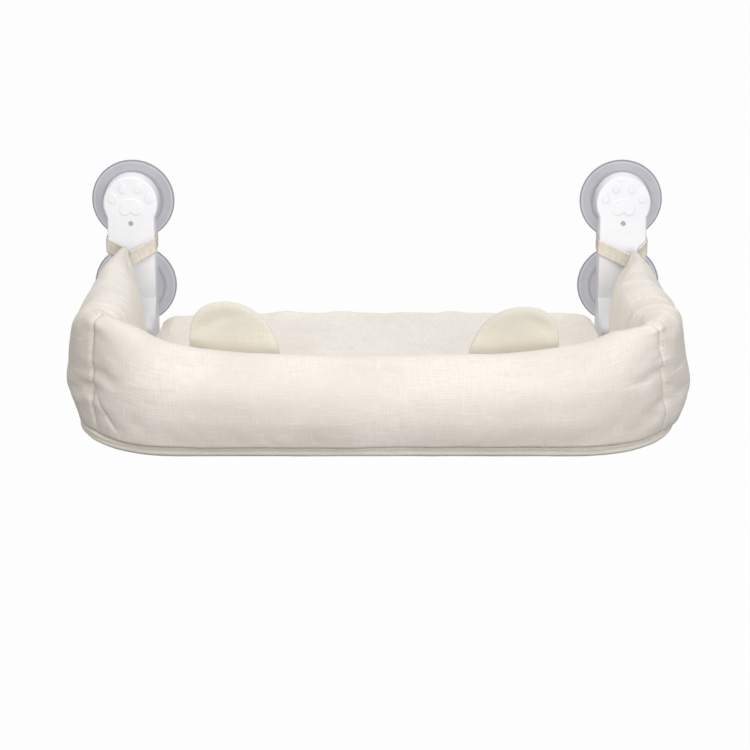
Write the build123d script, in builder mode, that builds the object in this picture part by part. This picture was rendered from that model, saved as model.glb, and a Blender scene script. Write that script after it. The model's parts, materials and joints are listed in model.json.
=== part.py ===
from build123d import *
import math
import os

# A window cat hammock. Two arms with suction cups carry a padded tray that folds
# up against the glass. The origin is the middle of the four cups on the glass,
# +X runs along the window, +Y points through the glass and +Z is up.
# Depths are distances from the glass into the room, along -Y.

# Driving sizes, in millimetres
arm_spacing = 498.0
cup_diameter = 84.0
cup_gap = 6.0
hinge_reach = 84.0
hinge_drop = 88.0
bow_reach = 362.0
bow_corner_spread = 562.0
bow_corner_radius = 88.0
rail_diameter = 10.0

# Clearances
running_gap = 0.05
fit_gap = 0.1
soft_gap = 0.3
overrun = 5.0

# Suction cup, as a radius and a depth from the glass
seal_width = 4.0
rim_thickness = 2.8
disc_thickness = 7.0
ring_radius = 31.0
ring_width = 3.0
ring_height = 8.7
boss_radius = 14.0
cup_hollow = 3.0

# Stud and nut that hold a cup
stud_radius = 3.0
stud_head_radius = 8.0
stud_head_thickness = 2.0
stud_head_depth = 4.6
nut_width = 10.0
nut_thickness = 5.0

# Arm moulding
arm_back = 11.0
arm_width = 47.5
arm_wall = 3.0
head_radius = 27.5
head_z = 49.0
head_depth = 31.0
neck_depth = 40.0
neck_bottom = 48.0
foot_top_drop = 58.0
foot_heel_depth = 52.0
foot_toe = 20.0
foot_sole = 14.5
toe_radius = 8.0
toe_corner_radius = 11.0
edge_radius = 2.0
foot_wall = 4.5
foot_core_depth = 60.0

# Back plate of the arm
plate_thickness = 3.5
plate_ledge = 1.2

# Screws of the arm
screw_radius = 1.5
screw_head_radius = 2.9
screw_head_height = 1.8
screw_post_radius = 4.5
screw_grip = 9.0
drive_width = 0.6
drive_span = 2.6
drive_depth = 0.9
front_screw_z = 29.0
front_screw_radius = 1.2
front_head_radius = 1.9
front_screw_recess = 2.0
front_recess_radius = 2.4
back_screw_z = 19.0

# Raised paw on the head
paw_relief = 1.2
paw_round_share = 0.45
toe_pad_width = 7.6
toe_pad_height = 10.0
outer_toe_x = 18.5
outer_toe_z = 6.0
inner_toe_x = 8.0
inner_toe_z = 16.0
palm_width = 20.0
palm_height = 14.0
palm_z = -1.6
palm_lobe_radius = 5.2
palm_lobe_x = 5.8
palm_lobe_z = -6.2

# Hinge in the foot
slot_width = 25.0
slot_back = 13.0
knuckle_side_gap = 0.4
eye_radius = 11.0
socket_wall = 2.5
socket_length = 62.0
tube_start = 19.0
ledge_length = 8.0
cap_radius = 8.0
cap_length = 5.0
cap_wall = 2.0

# Frame tube and its screw
tube_wall = 1.2
bow_screw_inset = 12.0
bow_screw_radius = 2.0
bow_screw_head_radius = 3.8
bow_screw_head_height = 2.2
bow_screw_seat = 6.8

# Cloth
casing_cloth = 1.5
sling_cloth = 1.2
sling_side_gap = 1.8
strap_cloth = 1.4
strap_height = 16.0
strap_bottom = -3.0
strap_drop = 8.5
strap_tip_x = 8.0
strap_tip_depth = 44.8

# Seat pad
pad_rear_depth = 67.0
pad_height = 28.0
pad_edge_height = 23.0
pad_side_gap = 3.0
pad_front_gap = 4.0
pad_crown = 3.0
pad_bulge_depth = 4.0

# Stuffed rim, measured out from the centre of the bow's corner
rim_overhang = 14.0
front_thickness = 80.0
wing_thickness = 57.0
front_height = 76.0
corner_height = 106.0
rim_crown_radius = 11.0
rim_foot_share = 0.11
wing_tip_depth = 46.5
wing_arm_gap = 2.5

# Ears
ear_width = 84.0
ear_height = 80.0
ear_thickness = 10.0
ear_x = 128.0
ear_foot_height = 32.0
ear_lean = 8.0
ear_round = 4.0
ear_shoulder = 30.0

# How far two unit normals may differ and still face the same way
normal_match_share = 0.001

# Places that follow from the sizes above
arm_x = arm_spacing / 2
cup_z = (cup_diameter + cup_gap) / 2
cup_radius = cup_diameter / 2
rail_radius = rail_diameter / 2
bow_corner_x = bow_corner_spread / 2
arm_inner_x = arm_x - arm_width / 2
arm_outer_x = arm_x + arm_width / 2
head_top = head_z + head_radius
foot_bottom = -hinge_drop - foot_sole
foot_front = hinge_reach + foot_toe
hollow_bottom = -cup_z - boss_radius - arm_wall
socket_radius = rail_radius + running_gap + socket_wall
casing_radius = rail_radius + running_gap + casing_cloth
sling_bottom = -hinge_drop + casing_radius + fit_gap
soft_bottom = -hinge_drop + socket_radius + soft_gap
leg_angle = math.atan((bow_corner_x - arm_x) / (bow_reach - hinge_reach))
corner_tangent = bow_corner_radius * math.tan((math.pi / 2 + leg_angle) / 2)
rim_x = bow_corner_x - corner_tangent
rim_y = bow_corner_radius - bow_reach
rim_outer = bow_corner_radius + rim_overhang
front_slope = (neck_depth - head_depth) / (head_top + neck_bottom)

os.makedirs("parts", exist_ok=True)


def write(piece, name):
    """Label one finished piece and write its file."""
    piece.part.label = name
    export_step(piece.part, f"parts/{name}.step")


def write_pair(right_piece, name):
    """Write a right-hand piece and its mirror image on the left."""
    with BuildPart() as left_piece:
        mirror(right_piece.part, about=Plane.YZ)
    write(right_piece, f"right_{name}")
    write(left_piece, f"left_{name}")


def room_plane(x, depth, z):
    """A plane parallel to the glass that faces the room, with +Z up."""
    return Plane(origin=(x, -depth, z), x_dir=(1, 0, 0), z_dir=(0, -1, 0))


def radius_plane(x, z):
    """A level plane through a cup's axis: its x is the radius, its y the depth."""
    return Plane(origin=(x, 0, z), x_dir=(1, 0, 0), z_dir=(0, 0, -1))


def front_depth(z):
    """Depth of the arm's sloping front face at a height."""
    return head_depth + (head_top - z) * front_slope


cup_places = [(x, z) for x in (-arm_x, arm_x) for z in (-cup_z, cup_z)]

# Suction cups: a soft disc with a beaded rim, a raised ring and a boss for the stud
cup_names = {
    (-arm_x, -cup_z): "left_lower_cup",
    (-arm_x, cup_z): "left_upper_cup",
    (arm_x, -cup_z): "right_lower_cup",
    (arm_x, cup_z): "right_upper_cup",
}
for x, z in cup_places:
    head_top_depth = stud_head_depth + stud_head_thickness
    with BuildPart() as cup:
        with BuildSketch(radius_plane(x, z)):
            with BuildLine():
                Line((0, cup_hollow), (0, arm_back))
                Line((0, arm_back), (boss_radius, arm_back))
                Line((boss_radius, arm_back), (boss_radius, disc_thickness))
                Line((boss_radius, disc_thickness), (ring_radius - ring_width / 2, disc_thickness))
                Line((ring_radius - ring_width / 2, disc_thickness),
                     (ring_radius - ring_width / 2, ring_height))
                Line((ring_radius - ring_width / 2, ring_height),
                     (ring_radius + ring_width / 2, ring_height))
                Line((ring_radius + ring_width / 2, ring_height),
                     (ring_radius + ring_width / 2, disc_thickness - rim_thickness / 2))
                Line((ring_radius + ring_width / 2, disc_thickness - rim_thickness / 2),
                     (cup_radius - rim_thickness / 2, rim_thickness))
                ThreePointArc((cup_radius - rim_thickness / 2, rim_thickness),
                              (cup_radius, rim_thickness / 2),
                              (cup_radius - rim_thickness / 2, 0))
                Line((cup_radius - rim_thickness / 2, 0), (cup_radius - seal_width, 0))
                Spline((cup_radius - seal_width, 0), (0, cup_hollow),
                       tangents=[(-1, cup_hollow / cup_radius), (-1, 0)])
            make_face()
        revolve(axis=Axis((x, 0, z), (0, 1, 0)))
        with BuildSketch(room_plane(x, stud_head_depth - running_gap, z)):
            Circle(stud_head_radius + running_gap)
        extrude(amount=stud_head_thickness + 2 * running_gap, mode=Mode.SUBTRACT)
        with BuildSketch(room_plane(x, head_top_depth, z)):
            Circle(stud_radius + running_gap)
        extrude(amount=arm_back, mode=Mode.SUBTRACT)
    write(cup, cup_names[(x, z)])

# Studs with their heads in the cups, and the nuts inside the arms
plate_front = arm_back + plate_thickness + fit_gap
with BuildPart() as cup_studs:
    for x, z in cup_places:
        with BuildSketch(room_plane(x, stud_head_depth, z)):
            Circle(stud_head_radius)
        extrude(amount=stud_head_thickness)
        with BuildSketch(room_plane(x, stud_head_depth, z)):
            Circle(stud_radius)
        extrude(amount=plate_front + nut_thickness + stud_head_thickness - stud_head_depth)
write(cup_studs, "cup_studs")

with BuildPart() as cup_nuts:
    for x, z in cup_places:
        with BuildSketch(room_plane(x, plate_front, z)):
            RegularPolygon(nut_width / 2, 6, major_radius=False)
            Circle(stud_radius + running_gap, mode=Mode.SUBTRACT)
        extrude(amount=nut_thickness)
write(cup_nuts, "cup_nuts")


def arm_outline(depth, inset, bottom):
    """The arm's front view, head and neck, drawn inside its edge by an inset."""
    with BuildSketch(room_plane(arm_x, depth, 0)) as outline:
        with Locations((0, head_z)):
            Circle(head_radius - inset)
        with Locations((0, (head_z + bottom) / 2)):
            Rectangle(arm_width - 2 * inset, head_z - bottom)
    return outline.sketch


def arm_side(extra):
    """The arm's side view, from the head down to the toe, grown by an extra."""
    with BuildSketch(Plane.YZ) as side:
        with BuildLine():
            Polyline((-arm_back, head_top + overrun),
                     (-front_depth(head_top + overrun), head_top + overrun),
                     (-neck_depth, -neck_bottom),
                     (-foot_heel_depth, -foot_top_drop),
                     (-foot_front + toe_radius, -foot_top_drop))
            RadiusArc((-foot_front + toe_radius, -foot_top_drop),
                      (-foot_front, -foot_top_drop - toe_radius), -toe_radius)
            Polyline((-foot_front, -foot_top_drop - toe_radius),
                     (-foot_front, foot_bottom), (-arm_back, foot_bottom),
                     (-arm_back, head_top + overrun))
        make_face()
        if extra:
            offset(amount=extra)
    return side.sketch


# Arm moulding: hollow from the back, with screw posts, a raised paw and a slotted foot
front_angle = math.atan(front_slope)
front_normal = Vector(0, -math.cos(front_angle), math.sin(front_angle))
slot_floor = -hinge_drop - eye_radius - soft_gap
ledge_top = -hinge_drop - socket_radius - soft_gap
core_bottom = foot_bottom + foot_wall
core_top = hollow_bottom - foot_wall
seat_bottom = hollow_bottom - arm_wall + plate_ledge
screw_places = [(arm_x, -back_screw_z), (arm_x, back_screw_z)]


def faces_front(face):
    """Whether a face looks the way of the arm's sloping front."""
    return (face.normal_at() - front_normal).length < normal_match_share


def hollow_side():
    """Side view of the arm's hollow, one wall behind the sloping front."""
    with BuildSketch(Plane.YZ) as side:
        with BuildLine():
            Polyline((overrun, head_top), (arm_wall - front_depth(head_top), head_top),
                     (arm_wall - front_depth(-neck_bottom), -neck_bottom),
                     (arm_wall - front_depth(-neck_bottom), hollow_bottom),
                     (overrun, hollow_bottom), (overrun, head_top))
        make_face()
    return side.sketch


with BuildPart() as arm_hollow:
    extrude(arm_outline(arm_back, arm_wall, hollow_bottom), amount=foot_front)
    extrude(hollow_side(), amount=arm_outer_x + overrun, mode=Mode.INTERSECT)

paw_plane = Plane(origin=(arm_x, -front_depth(head_z), head_z), x_dir=(1, 0, 0),
                  z_dir=front_normal).offset(-paw_relief)
with BuildPart() as paw:
    with BuildSketch(paw_plane):
        with Locations((-outer_toe_x, outer_toe_z), (outer_toe_x, outer_toe_z),
                       (-inner_toe_x, inner_toe_z), (inner_toe_x, inner_toe_z)):
            Ellipse(toe_pad_width / 2, toe_pad_height / 2)
        with Locations((0, palm_z)):
            Ellipse(palm_width / 2, palm_height / 2)
        with Locations((-palm_lobe_x, palm_lobe_z), (palm_lobe_x, palm_lobe_z)):
            Circle(palm_lobe_radius)
    extrude(amount=2 * paw_relief)
    paw_tops = paw.faces().filter_by(faces_front)
    fillet(paw_tops.edges(), paw_relief * paw_round_share)

with BuildPart() as right_arm_shell:
    extrude(arm_outline(arm_back, 0, foot_bottom), amount=foot_front)
    extrude(arm_side(0), amount=arm_outer_x + overrun, mode=Mode.INTERSECT)
    toe_corners = right_arm_shell.edges().filter_by(Axis.Z).group_by(Axis.Y)[0]
    fillet(toe_corners, toe_corner_radius)
    front_face = right_arm_shell.faces().filter_by(faces_front)
    front_edges = front_face.edges().filter_by(lambda edge: edge.center().Z > -neck_bottom)
    fillet(front_edges, edge_radius)
    extrude(arm_outline(arm_back, plate_ledge, seat_bottom),
            amount=plate_thickness + fit_gap, mode=Mode.SUBTRACT)
    add(arm_hollow.part, mode=Mode.SUBTRACT)
    # Core of the foot, open at the back
    with BuildSketch(room_plane(arm_x, arm_back, (core_bottom + core_top) / 2)):
        Rectangle(arm_width - 2 * foot_wall, core_top - core_bottom)
    extrude(amount=foot_core_depth - arm_back, mode=Mode.SUBTRACT)
    # Slot for the knuckle, with a ledge at the front for the socket to lie on
    with BuildSketch(Plane.YZ.offset(arm_x - slot_width / 2)):
        with BuildLine():
            Polyline((slot_back - hinge_reach, -foot_top_drop + overrun),
                     (slot_back - hinge_reach, slot_floor),
                     (ledge_length - foot_front, slot_floor),
                     (ledge_length - foot_front, ledge_top),
                     (-foot_front - overrun, ledge_top),
                     (-foot_front - overrun, -foot_top_drop + overrun),
                     (slot_back - hinge_reach, -foot_top_drop + overrun))
        make_face()
    extrude(amount=slot_width, mode=Mode.SUBTRACT)
    with BuildSketch(Plane.YZ.offset(arm_inner_x - overrun)):
        with Locations((-hinge_reach, -hinge_drop)):
            Circle(rail_radius + running_gap)
    extrude(amount=arm_width + 2 * overrun, mode=Mode.SUBTRACT)
    # Posts that take the back screws, and the seat of the front screw
    for x, z in screw_places:
        with BuildSketch(room_plane(x, plate_front, z)):
            Circle(screw_post_radius)
            Circle(screw_radius + running_gap, mode=Mode.SUBTRACT)
        extrude(amount=front_depth(z) - plate_front - arm_wall / 2)
    with BuildSketch(room_plane(arm_x, front_depth(front_screw_z) + overrun, front_screw_z)):
        Circle(front_recess_radius)
    extrude(amount=-overrun - front_screw_recess, mode=Mode.SUBTRACT)
    with BuildSketch(room_plane(arm_x, plate_front, front_screw_z)):
        Circle(front_screw_radius + fit_gap)
    extrude(amount=front_depth(front_screw_z) - plate_front, mode=Mode.SUBTRACT)
    add(paw.part)
write_pair(right_arm_shell, "arm_shell")

# Back plate: closes the arm, carries the studs and a post for the front screw
front_post_depth = front_depth(front_screw_z + screw_post_radius) - arm_wall - fit_gap
with BuildPart() as right_back_plate:
    extrude(arm_outline(arm_back, plate_ledge + fit_gap, seat_bottom + fit_gap),
            amount=plate_thickness)
    with BuildSketch(room_plane(arm_x, arm_back, front_screw_z)):
        Circle(screw_post_radius)
    extrude(amount=front_post_depth - arm_back)
    with BuildSketch(room_plane(arm_x, front_post_depth - screw_grip, front_screw_z)):
        Circle(front_screw_radius + running_gap)
    extrude(amount=screw_grip, mode=Mode.SUBTRACT)
    for z in (-cup_z, cup_z):
        with BuildSketch(room_plane(arm_x, arm_back, z)):
            Circle(stud_radius + fit_gap)
        extrude(amount=plate_thickness, mode=Mode.SUBTRACT)
    for x, z in screw_places:
        with BuildSketch(room_plane(x, arm_back, z)):
            Circle(screw_head_radius + fit_gap)
        with BuildSketch(room_plane(x, arm_back + screw_head_height, z)):
            Circle(screw_radius + fit_gap)
        loft(mode=Mode.SUBTRACT)
        with BuildSketch(room_plane(x, arm_back, z)):
            Circle(screw_radius + fit_gap)
        extrude(amount=plate_thickness, mode=Mode.SUBTRACT)
write_pair(right_back_plate, "back_plate")

# Screws: two countersunk ones behind each arm, one recessed one in each neck
def drive_cross(plane):
    """The cross-shaped recess that a screwdriver fits."""
    with BuildSketch(plane) as cross:
        Rectangle(drive_span, drive_width)
        Rectangle(drive_width, drive_span)
    return cross.sketch


with BuildPart() as back_screws:
    for side in (-1, 1):
        for x, z in screw_places:
            with BuildSketch(room_plane(side * x, arm_back, z)):
                Circle(screw_head_radius)
            with BuildSketch(room_plane(side * x, arm_back + screw_head_height, z)):
                Circle(screw_radius)
            loft()
            with BuildSketch(room_plane(side * x, arm_back + screw_head_height, z)):
                Circle(screw_radius)
            extrude(amount=plate_thickness + screw_grip - screw_head_height)
            extrude(drive_cross(room_plane(side * x, arm_back, z)), amount=drive_depth,
                    mode=Mode.SUBTRACT)
write(back_screws, "back_screws")

front_seat_depth = front_depth(front_screw_z) - front_screw_recess
front_head_depth = front_seat_depth + screw_head_height
with BuildPart() as front_screws:
    for x in (-arm_x, arm_x):
        with BuildSketch(room_plane(x, front_seat_depth, front_screw_z)):
            Circle(front_head_radius)
        extrude(amount=screw_head_height)
        with BuildSketch(room_plane(x, front_seat_depth, front_screw_z)):
            Circle(front_screw_radius)
        extrude(amount=-screw_grip + arm_wall - front_screw_recess)
        extrude(drive_cross(room_plane(x, front_head_depth, front_screw_z)), amount=-drive_depth,
                mode=Mode.SUBTRACT)
write(front_screws, "front_screws")

# Strap: a band round the neck between the cups, whose two ends drop to the wing's tip
band_gap = soft_gap + strap_cloth
band_front = front_depth(strap_bottom - strap_drop) + soft_gap
tip_x = arm_x + strap_tip_x
with BuildPart() as right_strap:
    with BuildSketch(Plane.XY.offset(strap_bottom)):
        with BuildLine():
            Polyline((arm_inner_x - band_gap, -band_front - strap_cloth),
                     (arm_inner_x - band_gap, band_gap - arm_back),
                     (arm_outer_x + band_gap, band_gap - arm_back),
                     (arm_outer_x + band_gap, -band_front - strap_cloth),
                     (arm_outer_x + soft_gap, -band_front - strap_cloth),
                     (arm_outer_x + soft_gap, soft_gap - arm_back),
                     (arm_inner_x - soft_gap, soft_gap - arm_back),
                     (arm_inner_x - soft_gap, -band_front - strap_cloth),
                     (arm_inner_x - band_gap, -band_front - strap_cloth))
        make_face()
    extrude(amount=strap_height)
    for corner_x, end_x, end_depth in (
        (arm_inner_x - band_gap, tip_x, strap_tip_depth),
        (arm_outer_x + band_gap, tip_x + strap_tip_x / 2, strap_tip_depth - band_gap),
    ):
        with BuildSketch(Plane.YZ.offset(corner_x)):
            with Locations((-band_front - strap_cloth / 2, strap_bottom + strap_height / 2)):
                Rectangle(strap_cloth, strap_height)
        with BuildSketch(Plane.YZ.offset(end_x)):
            with Locations((-end_depth, strap_bottom + strap_height / 2 - strap_drop)):
                Rectangle(strap_cloth, strap_height)
        loft(ruled=True)
write_pair(right_strap, "strap")

# Rear rail, which is the hinge pin of both feet, and its caps
cap_start = arm_outer_x + soft_gap
rail_end = cap_start + cap_length - cap_wall
with BuildPart() as hinge_axle:
    with BuildSketch(Plane.YZ):
        with Locations((-hinge_reach, -hinge_drop)):
            Circle(rail_radius)
    extrude(amount=rail_end, both=True)
    chamfer(hinge_axle.edges(), rail_radius / 10)
write(hinge_axle, "hinge_axle")

with BuildPart() as axle_caps:
    for side in (-1, 1):
        with BuildSketch(Plane.YZ.offset(side * cap_start)):
            with Locations((-hinge_reach, -hinge_drop)):
                Circle(cap_radius)
        extrude(amount=side * cap_length)
        outer_rim = axle_caps.edges().filter_by(GeomType.CIRCLE).sort_by(Axis.X)[-1 if side > 0 else 0]
        fillet(outer_rim, cap_wall / 2)
        with BuildSketch(Plane.YZ.offset(side * cap_start)):
            with Locations((-hinge_reach, -hinge_drop)):
                Circle(rail_radius + running_gap)
        extrude(amount=side * (cap_length - cap_wall), mode=Mode.SUBTRACT)
write(axle_caps, "axle_caps")

# Knuckle: an eye on the rail and a socket that points along the bow's leg
leg_direction = Vector(math.sin(leg_angle), -math.cos(leg_angle), 0)
hinge_point = Vector(arm_x, -hinge_reach, -hinge_drop)


def leg_plane(reach):
    """A plane square to the bow's leg, a reach along it from the hinge."""
    return Plane(origin=hinge_point + leg_direction * reach, x_dir=(0, 0, 1),
                 z_dir=leg_direction)


def bow_screw_plane(drop):
    """A level plane that faces down at the bow's screw, a drop below the rail."""
    middle = hinge_point + leg_direction * (socket_length - bow_screw_inset)
    return Plane(origin=(middle.X, middle.Y, middle.Z - drop), x_dir=(1, 0, 0), z_dir=(0, 0, -1))


with BuildPart() as right_knuckle:
    with BuildSketch(Plane.YZ.offset(arm_x - slot_width / 2 + knuckle_side_gap)):
        with Locations((-hinge_reach, -hinge_drop)):
            Circle(eye_radius)
    extrude(amount=slot_width - 2 * knuckle_side_gap)
    with BuildSketch(leg_plane(0)):
        Circle(socket_radius)
    extrude(amount=socket_length)
    with BuildSketch(leg_plane(tube_start)):
        Circle(rail_radius + running_gap)
    extrude(amount=socket_length, mode=Mode.SUBTRACT)
    with BuildSketch(Plane.YZ.offset(arm_inner_x)):
        with Locations((-hinge_reach, -hinge_drop)):
            Circle(rail_radius + running_gap)
    extrude(amount=arm_width, mode=Mode.SUBTRACT)
    with BuildSketch(bow_screw_plane(bow_screw_seat)):
        Circle(bow_screw_head_radius + fit_gap)
    extrude(amount=socket_radius, mode=Mode.SUBTRACT)
    with BuildSketch(bow_screw_plane(0)):
        Circle(bow_screw_radius + running_gap)
    extrude(amount=socket_radius, mode=Mode.SUBTRACT)
write_pair(right_knuckle, "knuckle")


def bow_path(reach):
    """The bow's centre line, each leg starting a reach from the hinge."""
    start = hinge_point + leg_direction * reach
    with BuildLine(Plane.XY.offset(-hinge_drop)) as path:
        FilletPolyline((start.X, start.Y), (bow_corner_x, -bow_reach),
                       (-bow_corner_x, -bow_reach), (-start.X, start.Y),
                       radius=bow_corner_radius)
    return path.wire()


# Frame tube and the sleeve that hides it
with BuildPart() as front_bow:
    with BuildSketch(leg_plane(tube_start + fit_gap)):
        Circle(rail_radius)
        Circle(rail_radius - tube_wall, mode=Mode.SUBTRACT)
    sweep(path=bow_path(tube_start + fit_gap))
    with BuildSketch(bow_screw_plane(0)):
        Circle(bow_screw_radius + running_gap)
    screw_hole = extrude(amount=socket_radius, mode=Mode.PRIVATE)
    add(screw_hole, mode=Mode.SUBTRACT)
    add(mirror(screw_hole, about=Plane.YZ, mode=Mode.PRIVATE), mode=Mode.SUBTRACT)
write(front_bow, "front_bow")

with BuildPart() as bow_casing:
    with BuildSketch(leg_plane(socket_length + soft_gap)):
        Circle(casing_radius)
        Circle(rail_radius + running_gap, mode=Mode.SUBTRACT)
    sweep(path=bow_path(socket_length + soft_gap))
write(bow_casing, "bow_casing")

with BuildPart() as bow_screws:
    with BuildSketch(bow_screw_plane(bow_screw_seat)):
        Circle(bow_screw_head_radius)
    extrude(amount=bow_screw_head_height)
    with BuildSketch(bow_screw_plane(bow_screw_seat)):
        Circle(bow_screw_radius)
    extrude(amount=tube_wall - bow_screw_seat + rail_radius / 2)
    extrude(drive_cross(bow_screw_plane(bow_screw_seat + bow_screw_head_height)),
            amount=-drive_depth, mode=Mode.SUBTRACT)
    mirror(about=Plane.YZ)
write(bow_screws, "bow_screws")

with BuildPart() as rear_casing:
    with BuildSketch(Plane.YZ):
        with Locations((-hinge_reach, -hinge_drop)):
            Circle(casing_radius)
            Circle(rail_radius + running_gap, mode=Mode.SUBTRACT)
    extrude(amount=arm_inner_x - 2 * soft_gap, both=True)
write(rear_casing, "rear_casing")

# Sling: the cloth panel over the frame, notched round the feet and sockets
sling_inner_x = arm_inner_x - sling_side_gap
notch_reach = socket_length + sling_side_gap
notch_end = hinge_point + leg_direction * notch_reach
with BuildPart() as sling:
    with BuildSketch(Plane.XY.offset(sling_bottom)):
        with BuildLine():
            FilletPolyline((notch_end.X, notch_end.Y), (bow_corner_x, -bow_reach),
                           (-bow_corner_x, -bow_reach), (-notch_end.X, notch_end.Y),
                           radius=bow_corner_radius)
            Polyline((-notch_end.X, notch_end.Y), (-sling_inner_x, notch_end.Y),
                     (-sling_inner_x, casing_radius - hinge_reach),
                     (sling_inner_x, casing_radius - hinge_reach),
                     (sling_inner_x, notch_end.Y), (notch_end.X, notch_end.Y))
        make_face()
    extrude(amount=sling_cloth)
write(sling, "sling")

# Seat pad: sections across its depth, thinner and shorter towards its ends
wing_inner_x = rim_x + rim_outer - wing_thickness
pad_half = min(arm_inner_x, wing_inner_x) - pad_side_gap
pad_front_depth = -rim_y + rim_outer - front_thickness - pad_front_gap
pad_middle = (pad_rear_depth + pad_front_depth) / 2
pad_half_depth = (pad_front_depth - pad_rear_depth) / 2
pad_half_shares = [(0.16, 1.0, 1.0), (0.34, 1.0, 1.0), (0.52, 1.0, 1.0), (0.70, 1.0, 0.99),
                   (0.85, 0.99, 0.96), (0.94, 0.97, 0.86), (0.985, 0.90, 0.62), (1.0, 0.78, 0.30)]
pad_station_shares = [(-along, depth, height) for along, depth, height in pad_half_shares[::-1]]
pad_station_shares += pad_half_shares
with BuildPart() as seat_pad:
    for along_share, depth_share, height_share in pad_station_shares:
        half = pad_half_depth * depth_share - pad_bulge_depth
        edge_top = pad_edge_height * height_share
        crown_top = edge_top + (pad_height - pad_edge_height) * height_share ** 2
        with BuildSketch(Plane(origin=(along_share * pad_half, -pad_middle, soft_bottom),
                               x_dir=(0, 1, 0), z_dir=(1, 0, 0))):
            with BuildLine():
                Line((-half, 0), (half, 0))
                ThreePointArc((half, 0), (half + pad_bulge_depth * depth_share, edge_top / 2),
                              (half - pad_crown, edge_top))
                ThreePointArc((half - pad_crown, edge_top), (0, crown_top),
                              (pad_crown - half, edge_top))
                ThreePointArc((pad_crown - half, edge_top),
                              (-half - pad_bulge_depth * depth_share, edge_top / 2), (-half, 0))
            make_face()
    loft()
write(seat_pad, "seat_pad")


def rim_plane(turn, along):
    """A plane square to the stuffed rim, its x pointing out of the tray and its y up.

    A turn of 0 is the front, whose sections lie along it from the middle, and 90
    degrees is the side, whose sections lie along its depth from the glass."""
    if turn == 0:
        return Plane(origin=(along, rim_y, soft_bottom), x_dir=(0, -1, 0), z_dir=(-1, 0, 0))
    if turn == 90:
        return Plane(origin=(rim_x, -along, soft_bottom), x_dir=(1, 0, 0), z_dir=(0, -1, 0))
    angle = math.radians(turn)
    return Plane(origin=(rim_x, rim_y, soft_bottom), x_dir=(math.sin(angle), -math.cos(angle), 0),
                 z_dir=(-math.cos(angle), -math.sin(angle), 0))


def rim_section(plane, outer, thickness, height, ridge_share, belly_share):
    """One section of the stuffed rim: a flat base, two bulging sides and a rounded ridge."""
    inner = outer - thickness
    ridge = inner + thickness * ridge_share
    crown = min(rim_crown_radius, thickness / 4)
    shoulder = height - crown
    base_inner = inner + thickness * rim_foot_share
    base_outer = outer - thickness * rim_foot_share
    with BuildSketch(plane) as section:
        with BuildLine():
            Line((base_inner, 0), (base_outer, 0))
            ThreePointArc((base_outer, 0), (outer, height * belly_share),
                          (ridge + crown, shoulder))
            ThreePointArc((ridge + crown, shoulder), (ridge, height), (ridge - crown, shoulder))
            ThreePointArc((ridge - crown, shoulder), (inner, height * belly_share),
                          (base_inner, 0))
        make_face()
    return section.sketch


# Front bolster: sections from the middle out to the seam halfway round each corner.
# Each entry holds the turn, the place along the straight, and the shares of lift,
# thickness, ridge and belly.
seam_turn = 45
half_front_shares = [(0, 0.0, 0.0, 1.0, 0.50, 0.42), (0, 0.55, 0.06, 1.0, 0.50, 0.42),
                     (0, 1.0, 0.33, 0.95, 0.54, 0.43), (22.5, 0, 0.68, 0.86, 0.66, 0.46),
                     (seam_turn, 0, 1.0, 0.76, 0.74, 0.50)]


def front_height_at(lift):
    return front_height + (corner_height - front_height) * lift


with BuildPart() as front_bolster:
    half_sections = []
    for turn, along_share, lift, thick_share, ridge_share, belly_share in half_front_shares:
        half_sections.append(rim_section(rim_plane(turn, rim_x * along_share), rim_outer,
                                         front_thickness * thick_share,
                                         front_height_at(lift), ridge_share, belly_share))
    mirrored = [mirror(section, about=Plane.YZ, mode=Mode.PRIVATE) for section in half_sections[:0:-1]]
    loft(sections=mirrored + half_sections)
write(front_bolster, "front_bolster")

# Wings: from the corner seam back along the side to a narrow tip at the arm.
# Each entry holds the turn, the share of the way from the corner back to the tip,
# and the shares of lift, outer reach, thickness, ridge and belly.
wing_shares = [(seam_turn, 0, 1.0, 1.0, 1.067, 0.74, 0.50), (67.5, 0, 0.95, 1.01, 1.03, 0.68, 0.56),
               (90, 0.0, 0.82, 1.02, 1.02, 0.61, 0.62), (90, 0.31, 0.64, 1.03, 1.03, 0.60, 0.64),
               (90, 0.67, 0.46, 1.00, 0.97, 0.58, 0.64), (90, 0.87, 0.36, 0.94, 0.80, 0.55, 0.62),
               (90, 1.0, 0.27, 0.83, 0.44, 0.52, 0.60)]
corner_depth = -rim_y
seam_gap_angle = math.degrees(soft_gap / rim_outer)
with BuildPart() as right_wing:
    wing_sections = []
    for turn, back_share, lift, reach_share, thick_share, ridge_share, belly_share in wing_shares:
        along = corner_depth + (wing_tip_depth - corner_depth) * back_share
        shift = seam_gap_angle if turn == seam_turn else 0
        wing_sections.append(rim_section(rim_plane(turn + shift, along), rim_outer * reach_share,
                                         wing_thickness * thick_share,
                                         front_height_at(lift), ridge_share, belly_share))
    loft(sections=wing_sections)
    extrude(arm_side(wing_arm_gap), amount=arm_outer_x * 2, mode=Mode.SUBTRACT)
write_pair(right_wing, "wing")

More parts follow.
